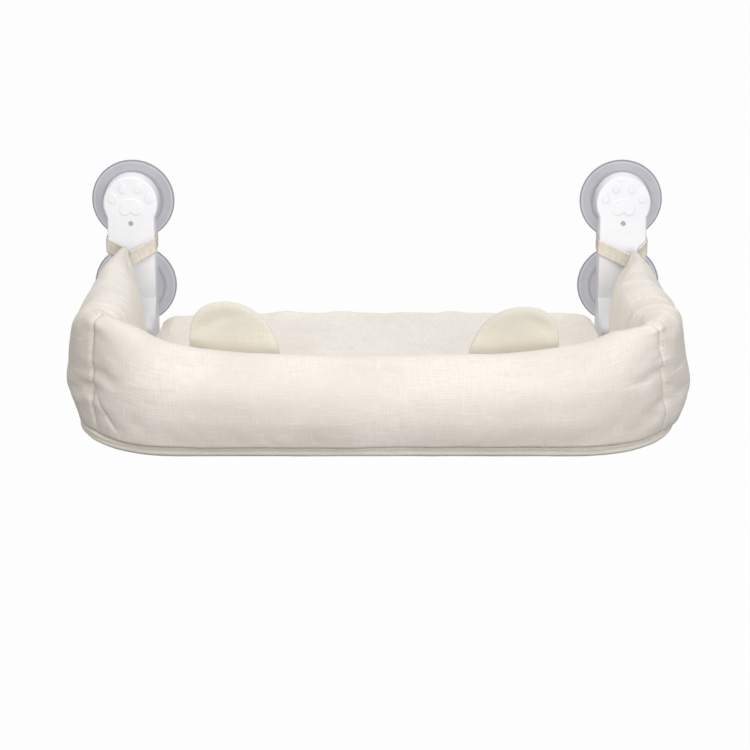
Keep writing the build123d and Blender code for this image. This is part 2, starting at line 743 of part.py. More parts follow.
# Ears: flat padded half ovals that lean on the back of the front bolster
ear_depth = rim_outer - rim_y - front_thickness - soft_gap
ear_base = soft_bottom + ear_foot_height
ear_half = ear_width / 2
ear_side_shares = (0.88, 0.72)
ear_corner_shares = (0.54, 0.945)
side = (ear_half * ear_side_shares[0], ear_height * ear_side_shares[1])
corner = (ear_half * ear_corner_shares[0], ear_height * ear_corner_shares[1])
with BuildPart() as right_ear:
    lean = math.radians(ear_lean)
    with BuildSketch(Plane(origin=(ear_x, -ear_depth, ear_base), x_dir=(1, 0, 0),
                           z_dir=(0, -math.cos(lean), -math.sin(lean)))):
        with BuildLine():
            Line((-ear_half, 0), (ear_half, 0))
            Line((ear_half, 0), (ear_half, ear_shoulder))
            ThreePointArc((ear_half, ear_shoulder), side, corner)
            ThreePointArc(corner, (0, ear_height), (-corner[0], corner[1]))
            ThreePointArc((-corner[0], corner[1]), (-side[0], side[1]),
                          (-ear_half, ear_shoulder))
            Line((-ear_half, ear_shoulder), (-ear_half, 0))
        make_face()
    extrude(amount=-ear_thickness)
    fillet(right_ear.edges(), ear_round)
write_pair(right_ear, "ear")
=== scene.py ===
# %% [markdown]
# # Window cat hammock
#
# The object is a padded tray that hangs on a window. Two white arms hold to the
# glass with suction cups, a steel frame folds up on a rail between their feet, and
# the frame carries a cloth sling, a seat cushion, a stuffed rim and two ears.
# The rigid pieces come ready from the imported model. This lesson dresses them:
# it gives every rigid piece its finish and makes all the soft pieces as cloth.
# Every length is in metres, the glass is the plane y = 0 and the room is at -y.

import json
import math

import bmesh
import bpy
import numpy as np
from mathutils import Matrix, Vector


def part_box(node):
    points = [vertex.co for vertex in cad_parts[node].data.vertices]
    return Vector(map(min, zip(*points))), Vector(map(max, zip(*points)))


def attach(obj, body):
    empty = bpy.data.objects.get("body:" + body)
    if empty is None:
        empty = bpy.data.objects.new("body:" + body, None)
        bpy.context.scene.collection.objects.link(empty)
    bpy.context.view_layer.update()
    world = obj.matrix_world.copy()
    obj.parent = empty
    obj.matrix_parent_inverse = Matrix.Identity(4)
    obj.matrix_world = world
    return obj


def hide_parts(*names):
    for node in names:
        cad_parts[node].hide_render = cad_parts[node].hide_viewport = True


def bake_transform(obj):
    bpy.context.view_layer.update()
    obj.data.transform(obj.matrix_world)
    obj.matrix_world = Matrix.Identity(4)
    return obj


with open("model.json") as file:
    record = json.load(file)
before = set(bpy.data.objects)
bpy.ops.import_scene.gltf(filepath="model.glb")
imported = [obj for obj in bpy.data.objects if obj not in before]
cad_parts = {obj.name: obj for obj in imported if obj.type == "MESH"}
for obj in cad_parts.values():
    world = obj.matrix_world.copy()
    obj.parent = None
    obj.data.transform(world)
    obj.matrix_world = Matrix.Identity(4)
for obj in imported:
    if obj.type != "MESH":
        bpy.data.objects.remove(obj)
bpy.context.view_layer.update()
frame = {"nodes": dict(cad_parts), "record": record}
scene = bpy.context.scene
nodes = frame["nodes"]

# %% [markdown]
# ## Camera
#
# A product photograph like this one is taken from a few metres away with a long
# lens, a little above the object and looking down at it. A pinhole camera was
# fitted to the four cups, whose places are known, and it stands 2.4 m into the room.

# %% Camera
PHOTO_WIDTH = 750
CAMERA_PLACE = (0.0, -2.402, 0.705)
CAMERA_PITCH = 19.5
FOCAL_PIXELS = 2430
SENSOR = 36.0
SHIFT_PIXELS = 2

lens = bpy.data.cameras.new("camera")
lens.sensor_width = SENSOR
lens.lens = FOCAL_PIXELS / PHOTO_WIDTH * SENSOR
lens.shift_x = -SHIFT_PIXELS / PHOTO_WIDTH
camera = bpy.data.objects.new("camera", lens)
camera.location = CAMERA_PLACE
camera.rotation_euler = (math.radians(90 - CAMERA_PITCH), 0, 0)
scene.collection.objects.link(camera)
scene.camera = camera
print("focal length", round(lens.lens, 1), "mm")

# %% [markdown]
# ## A hand for nodes
#
# Shaders and Geometry Nodes are both trees of nodes. One small function adds a
# node, sets its options and joins or fills its inputs, so that a material below
# reads as a short list of what it does.

# %% Node helper
def node(tree, kind, inputs=None, **options):
    """Add a node; an input is filled with a value or joined to a socket."""
    made = tree.nodes.new(kind)
    for name, value in options.items():
        setattr(made, name, value)
    for name, value in (inputs or {}).items():
        if isinstance(value, bpy.types.NodeSocket):
            tree.links.new(value, made.inputs[name])
        else:
            made.inputs[name].default_value = value
    return made


def maths(tree, operation, first, second=0.0, **options):
    """One sum on one or two numbers."""
    return node(tree, "ShaderNodeMath", {0: first, 1: second}, operation=operation, **options).outputs[0]


def ramp(tree, value, low, high, start=0.0, end=1.0):
    """A number that goes smoothly from start to end while value goes from low to high."""
    inputs = {"Value": value, "From Min": low, "From Max": high, "To Min": start, "To Max": end}
    made = node(tree, "ShaderNodeMapRange", inputs, interpolation_type="SMOOTHSTEP")
    return made.outputs["Result"]


def blend_colours(tree, share, first, second):
    """A mix of two colours."""
    made = node(tree, "ShaderNodeMix", {0: share, 6: first, 7: second}, data_type="RGBA")
    return made.outputs[2]


def colour(red, green, blue):
    """A colour as a screen shows it, from 0 to 255, in the linear values that shaders use."""
    shares = [c / 255 for c in (red, green, blue)]
    linear = [((c + 0.055) / 1.055) ** 2.4 if c > 10 / 255 else c / 12.92 for c in shares]
    return (*linear, 1.0)


def new_material(name):
    """An empty material: its tree and its output node."""
    material = bpy.data.materials.new(name)
    material.use_nodes = True
    material.node_tree.nodes.clear()
    return material, material.node_tree, node(material.node_tree, "ShaderNodeOutputMaterial")


def noise(tree, place, scale, detail):
    """Noise from 0 to 1 at a place."""
    made = node(tree, "ShaderNodeTexNoise", {"Vector": place, "Scale": scale, "Detail": detail})
    return made.outputs["Fac"]


def relief(tree, height, strength, distance):
    """The surface's direction, tilted by a height."""
    inputs = {"Strength": strength, "Distance": distance, "Height": height}
    return node(tree, "ShaderNodeBump", inputs).outputs["Normal"]


def give_skin(tree, output, inputs):
    """One shader with these inputs is the surface."""
    skin = node(tree, "ShaderNodeBsdfPrincipled", inputs)
    tree.links.new(skin.outputs[0], output.inputs["Surface"])


def object_place(tree):
    return node(tree, "ShaderNodeTexCoord").outputs["Object"]


def seen_by_camera(tree):
    """1 for a ray from the camera, direct, mirrored or through a clear piece, and 0 for light."""
    rays = node(tree, "ShaderNodeLightPath").outputs
    seen = maths(tree, "MAXIMUM", rays["Is Camera Ray"], rays["Is Glossy Ray"])
    return maths(tree, "MAXIMUM", seen, rays["Is Transmission Ray"])


def middle_of(box):
    """The middle of a box that is given by two corners."""
    return [(low + high) / 2 for low, high in zip(*box)]


# %% [markdown]
# ## Floor, backdrop and light
#
# The hammock hangs well above a plain pale floor. Seen by the camera the floor and
# the world are almost pure white, as on a product page, while the light that falls
# on the object stays at a plain level. Four large soft lamps stand in for a light
# tent: one at the upper left, one low in front, one at the right and a cool one behind.

# %% Floor and world
FLOOR_Z = -1.45
FLOOR_SIDE = 40.0
FLOOR_LIFT = 0.985

floor_mesh = bpy.data.meshes.new("floor")
half = FLOOR_SIDE / 2
corners = [(-half, -half, FLOOR_Z), (half, -half, FLOOR_Z), (half, half, FLOOR_Z), (-half, half, FLOOR_Z)]
floor_mesh.from_pydata(corners, [], [(0, 1, 2, 3)])
floor = bpy.data.objects.new("floor", floor_mesh)
scene.collection.objects.link(floor)

floor_paint, tree, output = new_material("pale_floor")
matt = node(tree, "ShaderNodeBsdfDiffuse", {"Color": colour(112, 110, 106)})
white = node(tree, "ShaderNodeEmission", {"Color": colour(255, 255, 255)})
share = maths(tree, "MULTIPLY", seen_by_camera(tree), FLOOR_LIFT)
mixed = node(tree, "ShaderNodeMixShader", {0: share, 1: matt.outputs[0], 2: white.outputs[0]})
tree.links.new(mixed.outputs[0], output.inputs["Surface"])
floor_mesh.materials.append(floor_paint)

AMBIENT = 0.50
world = bpy.data.worlds.new("light_tent")
scene.world = world
world.use_nodes = True
tree = world.node_tree
tree.nodes.clear()
strength = ramp(tree, seen_by_camera(tree), 0.0, 1.0, AMBIENT, 1.0)
sky = node(tree, "ShaderNodeBackground", {"Color": colour(255, 255, 255), "Strength": strength})
tree.links.new(sky.outputs[0], node(tree, "ShaderNodeOutputWorld").inputs["Surface"])
scene.view_settings.view_transform = "Standard"

# %% Lamps
LAMP_AIM = (0, -0.2, -0.03)
LAMPS = {
    "key": ((-1.2, -1.9, 2.3), 2.0, 28.2, (1.0, 0.99, 0.965)),
    "front": ((0.9, -3.0, 0.6), 1.6, 31.0, (0.985, 0.99, 1.0)),
    "right": ((1.1, -1.7, 2.1), 1.6, 12.0, (0.98, 0.99, 1.0)),
    "back": ((0.2, 2.0, 2.2), 2.4, 24.0, (0.86, 0.94, 1.0)),
}
for name, (place, size, power, tint) in LAMPS.items():
    lamp = bpy.data.lights.new(name, "AREA")
    lamp.shape = "DISK"
    lamp.size = size
    lamp.energy = power
    lamp.color = tint
    lamp_object = bpy.data.objects.new(name, lamp)
    lamp_object.location = place
    aim = Vector(LAMP_AIM) - lamp_object.location
    lamp_object.rotation_euler = aim.to_track_quat("-Z", "Y").to_euler()
    scene.collection.objects.link(lamp_object)
print("lit by", len(LAMPS), "lamps and the sky")

# %% [markdown]
# ## Cream linen
#
# The covers are a plain-woven linen look: threads of uneven thickness cross each
# other, and the thick places, called slubs, show as short pale streaks along both
# directions. A picture of cloth would tile and blur, so the weave is worked out.
# Noise stretched along a thread gives its unevenness, once for the warp and once
# for the weft, on a UV map that is measured in metres, so that the threads follow
# the cloth round every bend and keep one size on every piece.

# %% Linen material
THREAD = 0.0013
THICK_THREAD = THREAD * 1.2
THREAD_RUN = 0.016
WEFT_SLUB, WARP_SLUB = 0.022, 0.018
CLOTH_RELIEF = 0.0005


def stretched_noise(tree, cloth, along, across, detail=2.0, offset=0.0):
    """Noise on the cloth's own map, long in one direction and fine in the other."""
    scale = (1 / along, 1 / across, 1.0)
    inputs = {"Vector": cloth, "Scale": scale, "Location": (offset, offset, offset)}
    return noise(tree, node(tree, "ShaderNodeMapping", inputs).outputs[0], 1.0, detail)


def linen(name, tone, pale, shade, slub_share=0.42, bump=0.38):
    """Plain-woven cloth with slubs, in three tones of one colour."""
    material, tree, output = new_material(name)
    cloth = node(tree, "ShaderNodeUVMap", uv_map="cloth").outputs["UV"]
    weft = stretched_noise(tree, cloth, THREAD_RUN, THREAD)
    warp = stretched_noise(tree, cloth, THREAD, THREAD_RUN, offset=7.0)
    weft_slubs = ramp(tree, stretched_noise(tree, cloth, WEFT_SLUB, THICK_THREAD, 3.0, 3.0), 0.56, 0.72)
    warp_slubs = ramp(tree, stretched_noise(tree, cloth, THICK_THREAD, WARP_SLUB, 3.0, 11.0), 0.58, 0.74)
    slubs = maths(tree, "MAXIMUM", weft_slubs, warp_slubs)
    weave = maths(tree, "ADD", maths(tree, "MULTIPLY", weft, 0.5), maths(tree, "MULTIPLY", warp, 0.5))
    patches = noise(tree, object_place(tree), 9.0, 3.0)
    base = blend_colours(tree, ramp(tree, patches, 0.38, 0.66), tone, shade)
    base = blend_colours(tree, ramp(tree, weave, 0.34, 0.60, 0.1, 0.9), shade, base)
    base = blend_colours(tree, maths(tree, "MULTIPLY", slubs, slub_share), base, pale)
    height = maths(tree, "ADD", weave, maths(tree, "MULTIPLY", slubs, 0.6))
    give_skin(tree, output, {
        "Base Color": base,
        "Roughness": ramp(tree, weave, 0.3, 0.7, 0.95, 0.82),
        "Specular IOR Level": 0.2,
        "Sheen Weight": 0.12,
        "Sheen Roughness": 0.5,
        "Normal": relief(tree, height, bump, CLOTH_RELIEF),
    })
    return material


cream_linen = linen("cream_linen", colour(243, 236, 228), colour(252, 248, 243), colour(231, 223, 213))
ear_linen = linen("ear_linen", colour(234, 230, 217), colour(243, 240, 230), colour(224, 219, 205), 0.3)
base_linen = linen("base_linen", colour(244, 237, 227), colour(250, 246, 239), colour(234, 226, 215), 0.25)

# %% [markdown]
# ## Webbing and thread
#
# The straps are folded cotton tape, a little darker and stiffer than the covers.
# Its ribs run across the tape and its folded edges are denser. Sewing thread is a
# twisted yarn with a faint shine, so its bump is a fine slanted stripe.

# %% Webbing and thread materials
def tape(name, tone, shade):
    """Ribbed tape whose map runs along it in U and across it in V."""
    material, tree, output = new_material(name)
    cloth = node(tree, "ShaderNodeUVMap", uv_map="cloth").outputs["UV"]
    ribs = stretched_noise(tree, cloth, 0.0011, 0.012, 2.0)
    yarns = stretched_noise(tree, cloth, 0.016, 0.0009, 2.0, 5.0)
    weave = maths(tree, "ADD", maths(tree, "MULTIPLY", ribs, 0.6), maths(tree, "MULTIPLY", yarns, 0.4))
    give_skin(tree, output, {
        "Base Color": blend_colours(tree, ramp(tree, weave, 0.36, 0.64), shade, tone),
        "Roughness": ramp(tree, weave, 0.3, 0.7, 0.92, 0.8),
        "Specular IOR Level": 0.2,
        "Sheen Weight": 0.1,
        "Normal": relief(tree, weave, 0.5, CLOTH_RELIEF),
    })
    return material


def yarn(name, tone, shade):
    """Twisted sewing thread."""
    material, tree, output = new_material(name)
    twist = noise(tree, object_place(tree), 2600.0, 1.0)
    give_skin(tree, output, {
        "Base Color": blend_colours(tree, ramp(tree, twist, 0.35, 0.65), shade, tone),
        "Roughness": ramp(tree, twist, 0.3, 0.7, 0.7, 0.5),
        "Normal": relief(tree, twist, 0.4, 0.0002),
    })
    return material


strap_tape = tape("strap_tape", colour(238, 231, 219), colour(221, 212, 198))
sewing_thread = yarn("sewing_thread", colour(244, 238, 226), colour(224, 215, 200))

# %% [markdown]
# ## Hard finishes
#
# The arms are a white moulding with a satin skin: almost even, with the faint
# mottling that every moulding has. The cups are clear grey vinyl, cloudy rather
# than glassy, so a little light goes through and the rest scatters, and rings of
# painted shade and painted highlight are laid round each cup. The rail and the
# screws are zinc plated, and the frame tube has a white powder coat.

# %% Plastic, vinyl and metal
def moulded(name, tone, shade, roughness, grain):
    """Satin plastic or powder coat with a fine grain."""
    material, tree, output = new_material(name)
    place = object_place(tree)
    mottle = noise(tree, place, 38.0, 4.0)
    give_skin(tree, output, {
        "Base Color": blend_colours(tree, ramp(tree, mottle, 0.35, 0.7), tone, shade),
        "Roughness": ramp(tree, mottle, 0.3, 0.7, roughness - 0.04, roughness + 0.06),
        "Normal": relief(tree, noise(tree, place, grain, 2.0), 0.12, 0.0002),
        "Specular IOR Level": 0.4,
    })
    return material


cup_middle = middle_of(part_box("right_upper_cup"))
CUP_CENTRE = (cup_middle[0], 0, cup_middle[2])
# Painted light on the cups: a dark ring of painted shadow beside the arm's head, two light rings of painted
# highlight, and a dark painted shade outline at the rim.
CUP_PAINTED_LIGHT_RINGS = [
    (0.0300, 0.0012, colour(172, 172, 177)),
    (0.0330, 0.0005, colour(208, 208, 212)),
    (0.0396, 0.0007, colour(222, 222, 226)),
    (0.0413, 0.0010, colour(160, 160, 167)),
]


def vinyl(name, tone, shade):
    """Cloudy grey vinyl that passes some light, with rings of painted shade and painted highlight round the
    cup's centre.
    """
    material, tree, output = new_material(name)
    place = object_place(tree)
    cloud = noise(tree, place, 26.0, 3.0)
    mirrored = node(tree, "ShaderNodeVectorMath", {0: place}, operation="ABSOLUTE").outputs[0]
    flat = node(tree, "ShaderNodeVectorMath", {0: mirrored, 1: (1, 0, 1)}, operation="MULTIPLY").outputs[0]
    radius = node(tree, "ShaderNodeVectorMath", {0: flat, 1: CUP_CENTRE}, operation="DISTANCE")
    base = blend_colours(tree, ramp(tree, cloud, 0.35, 0.68), tone, shade)
    # Each ring paints shade or highlight into the cup's colour at its radius from the cup's centre.
    for at, width, painted_ring_tone in CUP_PAINTED_LIGHT_RINGS:
        off = maths(tree, "ABSOLUTE", maths(tree, "SUBTRACT", radius.outputs["Value"], at))
        base = blend_colours(tree, ramp(tree, off, width * 0.5, width, 1.0, 0.0), base, painted_ring_tone)
    give_skin(tree, output, {
        "Base Color": base,
        "Roughness": ramp(tree, cloud, 0.3, 0.7, 0.52, 0.62),
        "Normal": relief(tree, noise(tree, place, 700.0, 2.0), 0.06, 0.0002),
        "Transmission Weight": 0.8,
        "IOR": 1.2,
        "Specular IOR Level": 0.2,
    })
    return material


def plated(name, tone):
    """Zinc-plated steel with fine drawn lines along the window."""
    material, tree, output = new_material(name)
    inputs = {"Vector": object_place(tree), "Scale": (60.0, 2400.0, 2400.0)}
    lines = noise(tree, node(tree, "ShaderNodeMapping", inputs).outputs[0], 1.0, 2.0)
    give_skin(tree, output, {
        "Base Color": tone,
        "Metallic": 1.0,
        "Roughness": ramp(tree, lines, 0.3, 0.7, 0.28, 0.42),
        "Normal": relief(tree, lines, 0.15, 0.0001),
    })
    return material


white_moulding = moulded("white_moulding", colour(246, 246, 249), colour(242, 242, 246), 0.42, 900.0)
powder_coat = moulded("powder_coat", colour(236, 236, 236), colour(230, 230, 230), 0.45, 1400.0)
grey_vinyl = vinyl("grey_vinyl", colour(202, 201, 206), colour(194, 193, 199))
zinc_plate = plated("zinc_plate", colour(190, 191, 194))

FINISHES = {
    "cup_vinyl": grey_vinyl,
    "zinc_steel": zinc_plate,
    "white_plastic": white_moulding,
    "coated_tube": powder_coat,
    "beige_webbing": strap_tape,
    "ear_cloth": ear_linen,
    "base_cloth": base_linen,
    "cream_cloth": cream_linen,
}
for part in frame["record"]["subparts"]:
    mesh = nodes[part["node"]].data
    mesh.materials.clear()
    mesh.materials.append(FINISHES[part["material_slot"]])
print("dressed", len(nodes), "packed pieces in", len(FINISHES), "finishes")

# %% [markdown]
# ## Numbers for soft shapes
#
# A stuffed cover has two scales of form. The large one is how it was cut, and it is
# given by sections at a few places, joined smoothly. The small one is how the cloth
# bunches at its seams, and it is given by noise that is the same on every run.

# %% Smooth joins and repeatable noise
def joined(places, values, at):
    """Values given at a few places, joined by a smooth curve that doesn't overshoot."""
    places, values = np.asarray(places, float), np.asarray(values, float)
    slopes = np.diff(values) / np.diff(places)
    tangents = np.zeros_like(values)
    same_way = slopes[1:] * slopes[:-1] > 0
    sums = slopes[1:] + slopes[:-1]
    tangents[1:-1] = np.where(same_way, 2 * slopes[1:] * slopes[:-1] / np.where(same_way, sums, 1), 0)
    tangents[0], tangents[-1] = slopes[0], slopes[-1]
    at = np.clip(at, places[0], places[-1])
    cell = np.clip(np.searchsorted(places, at, "right") - 1, 0, len(slopes) - 1)
    width = places[cell + 1] - places[cell]
    t = (at - places[cell]) / width
    rise = values[cell + 1] * (3 - 2 * t) * t ** 2 + values[cell] * (1 + 2 * t) * (1 - t) ** 2
    return rise + width * (tangents[cell] * t * (1 - t) ** 2 - tangents[cell + 1] * t ** 2 * (1 - t))


KNOTS = 256


def wander(first, second, seed):
    """Smooth noise from -1 to 1 on a plane; 1 is the width of one of its bumps."""
    knots = np.random.default_rng(seed).uniform(-1, 1, (KNOTS, KNOTS))
    first, second = np.broadcast_arrays(np.asarray(first, float), np.asarray(second, float))
    column, row = np.floor(first).astype(int), np.floor(second).astype(int)
    s, t = first - column, second - row
    s, t = s * s * (3 - 2 * s), t * t * (3 - 2 * t)
    beyond, above = (column + 1) % KNOTS, (row + 1) % KNOTS
    column, row = column % KNOTS, row % KNOTS
    near = knots[column, row] * (1 - s) + knots[beyond, row] * s
    far = knots[column, above] * (1 - s) + knots[beyond, above] * s
    return near * (1 - t) + far * t


def step(value, low, high):
    """0 below low, 1 above high and smooth between them."""
    t = np.clip((value - low) / (high - low), 0, 1)
    return t * t * (3 - 2 * t)


def arc(start, middle, end, count):
    """Points of the arc from start through middle to end, without its last point."""
    (ax, ay), (bx, by), (cx, cy) = start, middle, end
    double = 2 * (ax * (by - cy) + bx * (cy - ay) + cx * (ay - by))
    a, b, c = ax * ax + ay * ay, bx * bx + by * by, cx * cx + cy * cy
    x = (a * (by - cy) + b * (cy - ay) + c * (ay - by)) / double
    y = (a * (cx - bx) + b * (ax - cx) + c * (bx - ax)) / double
    turn = [math.atan2(py - y, px - x) for px, py in (start, middle, end)]
    if double > 0:
        while turn[2] < turn[0]:
            turn[2] += 2 * math.pi
    else:
        while turn[2] > turn[0]:
            turn[2] -= 2 * math.pi
    angle = np.linspace(turn[0], turn[2], count, endpoint=False)
    radius = math.hypot(ax - x, ay - y)
    return np.stack([x + radius * np.cos(angle), y + radius * np.sin(angle)], 1)


# %% [markdown]
# ## Mesh tools for cloth
#
# A cover is a grid that is closed round its section. It carries its own map in
# metres for the weave, and two attributes that say how far along and how far round
# each point lies, so that seams and gathers can be placed on it after the cloth
# solver and the subdivision have moved and added points.

# %% Grids, attributes and refinement
def shade_smooth(mesh):
    mesh.polygons.foreach_set("use_smooth", np.ones(len(mesh.polygons), bool))


def piece_from(name, mesh, material):
    """A smooth-shaded object, at the origin, in the scene."""
    made = bpy.data.objects.new(name, mesh)
    scene.collection.objects.link(made)
    mesh.materials.clear()
    mesh.materials.append(material)
    shade_smooth(mesh)
    return made


def face_outwards(mesh):
    """Turn every face of a closed mesh outwards."""
    work = bmesh.new()
    work.from_mesh(mesh)
    bmesh.ops.recalc_face_normals(work, faces=work.faces)
    work.to_mesh(mesh)
    work.free()


def write_map(mesh, points):
    """The cloth's own map: one point in metres for each corner of each face."""
    corners = np.array(points, np.float32)
    mesh.uv_layers.new(name="cloth").uv.foreach_set("vector", corners.ravel())


def tube(name, rings, along, round_, material):
    """A closed tube of quads. rings is (count, points, 3); along and round_ are in metres.

    Both ends are closed by a fan, and the map's seam is at the first point of a ring."""
    rings = np.asarray(rings)
    count, width = rings.shape[:2]
    points = [tuple(p) for p in rings.reshape(-1, 3)]
    points += [tuple(rings[end].mean(0)) for end in (0, -1)]
    faces, map_points = [], []
    for i in range(count - 1):
        for j in range(width):
            k = (j + 1) % width
            faces.append((i * width + j, i * width + k, (i + 1) * width + k, (i + 1) * width + j))
            far = round_[j + 1]
            map_points += [(along[i], round_[j]), (along[i], far)]
            map_points += [(along[i + 1], far), (along[i + 1], round_[j])]
    hub = count * width
    for start, centre, turned in ((0, hub, True), (hub - width, hub + 1, False)):
        for j in range(width):
            k = (j + 1) % width
            pair = (start + k, start + j) if turned else (start + j, start + k)
            faces.append((*pair, centre))
            map_points += [(along[0], round_[j])] * 3
    mesh = bpy.data.meshes.new(name)
    mesh.from_pydata(points, [], faces)
    write_map(mesh, map_points)
    ends = [along[0], along[-1]]
    write_attribute(mesh, "along", np.append(np.repeat(along, width), ends))
    write_attribute(mesh, "round", np.append(np.tile(round_[:-1], count), [round_[0], round_[0]]))
    made = piece_from(name, mesh, material)
    face_outwards(mesh)
    return made


def write_attribute(mesh, name, values):
    """Keep one number for each point."""
    attribute = mesh.attributes.new(name, "FLOAT", "POINT")
    attribute.data.foreach_set("value", np.asarray(values, np.float32))


def read_attribute(mesh, name):
    values = np.zeros(len(mesh.vertices), np.float32)
    mesh.attributes[name].data.foreach_get("value", values)
    return values.astype(float)


def places_of(mesh, normals=False):
    """Every point's place, or its normal."""
    values = np.zeros(len(mesh.vertices) * 3, np.float32)
    if normals:
        mesh.vertex_normals.foreach_get("vector", values)
    else:
        mesh.vertices.foreach_get("co", values)
    return values.reshape(-1, 3).astype(float)


def move_to(mesh, places):
    mesh.vertices.foreach_set("co", places.astype(np.float32).ravel())
    mesh.update()


def settled(made):
    """The object's mesh with its modifiers applied, as a plain mesh."""
    graph = bpy.context.evaluated_depsgraph_get()
    shape = made.evaluated_get(graph)
    mesh = bpy.data.meshes.new_from_object(shape, preserve_all_data_layers=True, depsgraph=graph)
    made.modifiers.clear()
    old, made.data = made.data, mesh
    mesh.name = made.name
    bpy.data.meshes.remove(old)
    return made


def refine(made, levels):
    """Subdivide the cloth smoothly and keep the result."""
    modifier = made.modifiers.new("smooth", "SUBSURF")
    modifier.levels = modifier.render_levels = levels
    return settled(made)


def walled(made, thickness):
    """Give one layer of cloth its thickness, inwards from its face."""
    wall = made.modifiers.new("wall", "SOLIDIFY")
    wall.thickness, wall.offset = thickness, -1
    return settled(made)


# %% [markdown]
# ## Blowing up a cover
#
# Real stuffing pushes the cloth out between its seams, and where the cloth is
# longer than the shape it wraps, it buckles into folds. Blender's cloth solver does
# both: pressure stands in for the stuffing, and growing the cloth by a few percent
# gives the spare length. Sewn edges are pinned, gravity is off, and no point may
# move further than a cap, so that a cover stays in the space the model gives it.

# %% Cloth solver
PUFF_FRAMES = 20


def puff(made, sewn, growth=0.04, pressure=4.0, cap=0.007, stiffness=0.4):
    """Inflate a closed cover. sewn is each point's pin weight, from 0 to 1."""
    rest = places_of(made.data)
    group = made.vertex_groups.new(name="sewn")
    for index, weight in enumerate(sewn):
        if weight > 0:
            group.add([index], float(weight), "REPLACE")
    modifier = made.modifiers.new("cloth", "CLOTH")
    modifier.settings.quality = 5
    modifier.settings.mass = 0.15
    modifier.settings.bending_stiffness = stiffness
    modifier.settings.use_pressure = True
    modifier.settings.uniform_pressure_force = pressure
    modifier.settings.shrink_min = -growth
    modifier.settings.vertex_group_mass = "sewn"
    modifier.settings.effector_weights.gravity = 0
    modifier.collision_settings.use_collision = False
    modifier.point_cache.frame_end = PUFF_FRAMES
    for number in range(1, PUFF_FRAMES + 1):
        scene.frame_set(number)
    graph = bpy.context.evaluated_depsgraph_get()
    move = places_of(made.evaluated_get(graph).data) - rest
    made.modifiers.clear()
    made.vertex_groups.clear()
    scene.frame_set(1)
    length = np.linalg.norm(move, axis=1)
    kept = cap * np.tanh(length / cap) / np.maximum(length, 1e-9)
    move_to(made.data, rest + move * kept[:, None])
    print(made.name, "moved up to", round(float((length * kept).max()) * 1000, 1), "mm")
    return made


# %% [markdown]
# ## Stitches
#
# A row of stitches is one small loop of thread, repeated along a line, so it is
# made with Geometry Nodes. The line is a chain of edges whose points carry the
# direction that the cloth faces. The tree cuts the line into equal steps, puts a
# stitch on each step, turns it along the line and up from the cloth, and lets each
# one lean and vary a little, because no seam is perfectly even.

# %% Hands for Geometry Nodes
def inputs_of(tree, kinds):
    """Give a tree its geometry in and out and its named inputs."""
    tree.interface.new_socket("Geometry", in_out="INPUT", socket_type="NodeSocketGeometry")
    for name, kind in kinds.items():
        tree.interface.new_socket(name, in_out="INPUT", socket_type=f"NodeSocket{kind}")
    tree.interface.new_socket("Geometry", in_out="OUTPUT", socket_type="NodeSocketGeometry")
    return tree.nodes.new("NodeGroupInput").outputs


def end_tree(tree, geometry, material):
    """Real geometry, its material, and out."""
    real = node(tree, "GeometryNodeRealizeInstances", {"Geometry": geometry}).outputs[0]
    painted = node(tree, "GeometryNodeSetMaterial", {"Geometry": real, "Material": material})
    tree.links.new(painted.outputs[0], tree.nodes.new("NodeGroupOutput").inputs[0])


def grown(made, tree, values):
    """Run a tree on an object and keep the result as its plain mesh."""
    modifier = made.modifiers.new(tree.name, "NODES")
    modifier.node_group = tree
    for socket in tree.interface.items_tree:
        if socket.in_out == "INPUT" and socket.name in values:
            modifier[socket.identifier] = values[socket.name]
    settled(made)
    made.data.materials.clear()
    made.data.materials.append(values["Material"])
    return made


def cut_line(tree, geometry, length):
    """A chain of edges as a curve, cut into equal steps."""
    inputs = {"Curve": node(tree, "GeometryNodeMeshToCurve", {"Mesh": geometry}).outputs[0], "Length": length}
    return node(tree, "GeometryNodeResampleCurve", inputs, mode="LENGTH").outputs[0]


def chains(name, lines):
    """An object of bare edges along each line of points."""
    starts = np.cumsum([0] + [len(line) for line in lines])
    edges = [(k, k + 1) for start, end in zip(starts, starts[1:]) for k in range(start, end - 1)]
    mesh = bpy.data.meshes.new(name)
    mesh.from_pydata([tuple(p) for p in np.concatenate(lines)], edges, [])
    made = bpy.data.objects.new(name, mesh)
    scene.collection.objects.link(made)
    return made


# %% Stitch tree
BEAD = {"Segments": 6, "Rings": 5, "Radius": 0.5}
stitching = bpy.data.node_groups.new("Stitches", "GeometryNodeTree")
sizes = dict.fromkeys(("Pitch", "Stitch length", "Thread", "Lean"), "Float")
given = inputs_of(stitching, {**sizes, "Seed": "Int", "Material": "Material"})
cut = cut_line(stitching, given["Geometry"], given["Pitch"])
facing = node(stitching, "GeometryNodeInputNamedAttribute", {"Name": "facing"}, data_type="FLOAT_VECTOR")
along_line = node(stitching, "GeometryNodeInputTangent").outputs[0]
axes = {"Primary Axis": along_line, "Secondary Axis": facing.outputs[0]}
turned = node(stitching, "FunctionNodeAxesToRotation", axes, primary_axis="X", secondary_axis="Z").outputs[0]
less = maths(stitching, "MULTIPLY", given["Lean"], -1.0)
chance = node(stitching, "FunctionNodeRandomValue", {2: less, 3: given["Lean"], 8: given["Seed"]}).outputs[1]
lean = node(stitching, "ShaderNodeCombineXYZ", {"Z": chance}).outputs[0]
leaning = node(stitching, "FunctionNodeEulerToRotation", {"Euler": lean}).outputs[0]
both = {"Rotation": turned, "Rotate By": leaning}
turned = node(stitching, "FunctionNodeRotateRotation", both, rotation_space="LOCAL").outputs[0]
bead = node(stitching, "GeometryNodeMeshUVSphere", BEAD).outputs[0]
size = {"X": given["Stitch length"], "Y": given["Thread"], "Z": given["Thread"]}
size = node(stitching, "ShaderNodeCombineXYZ", size).outputs[0]
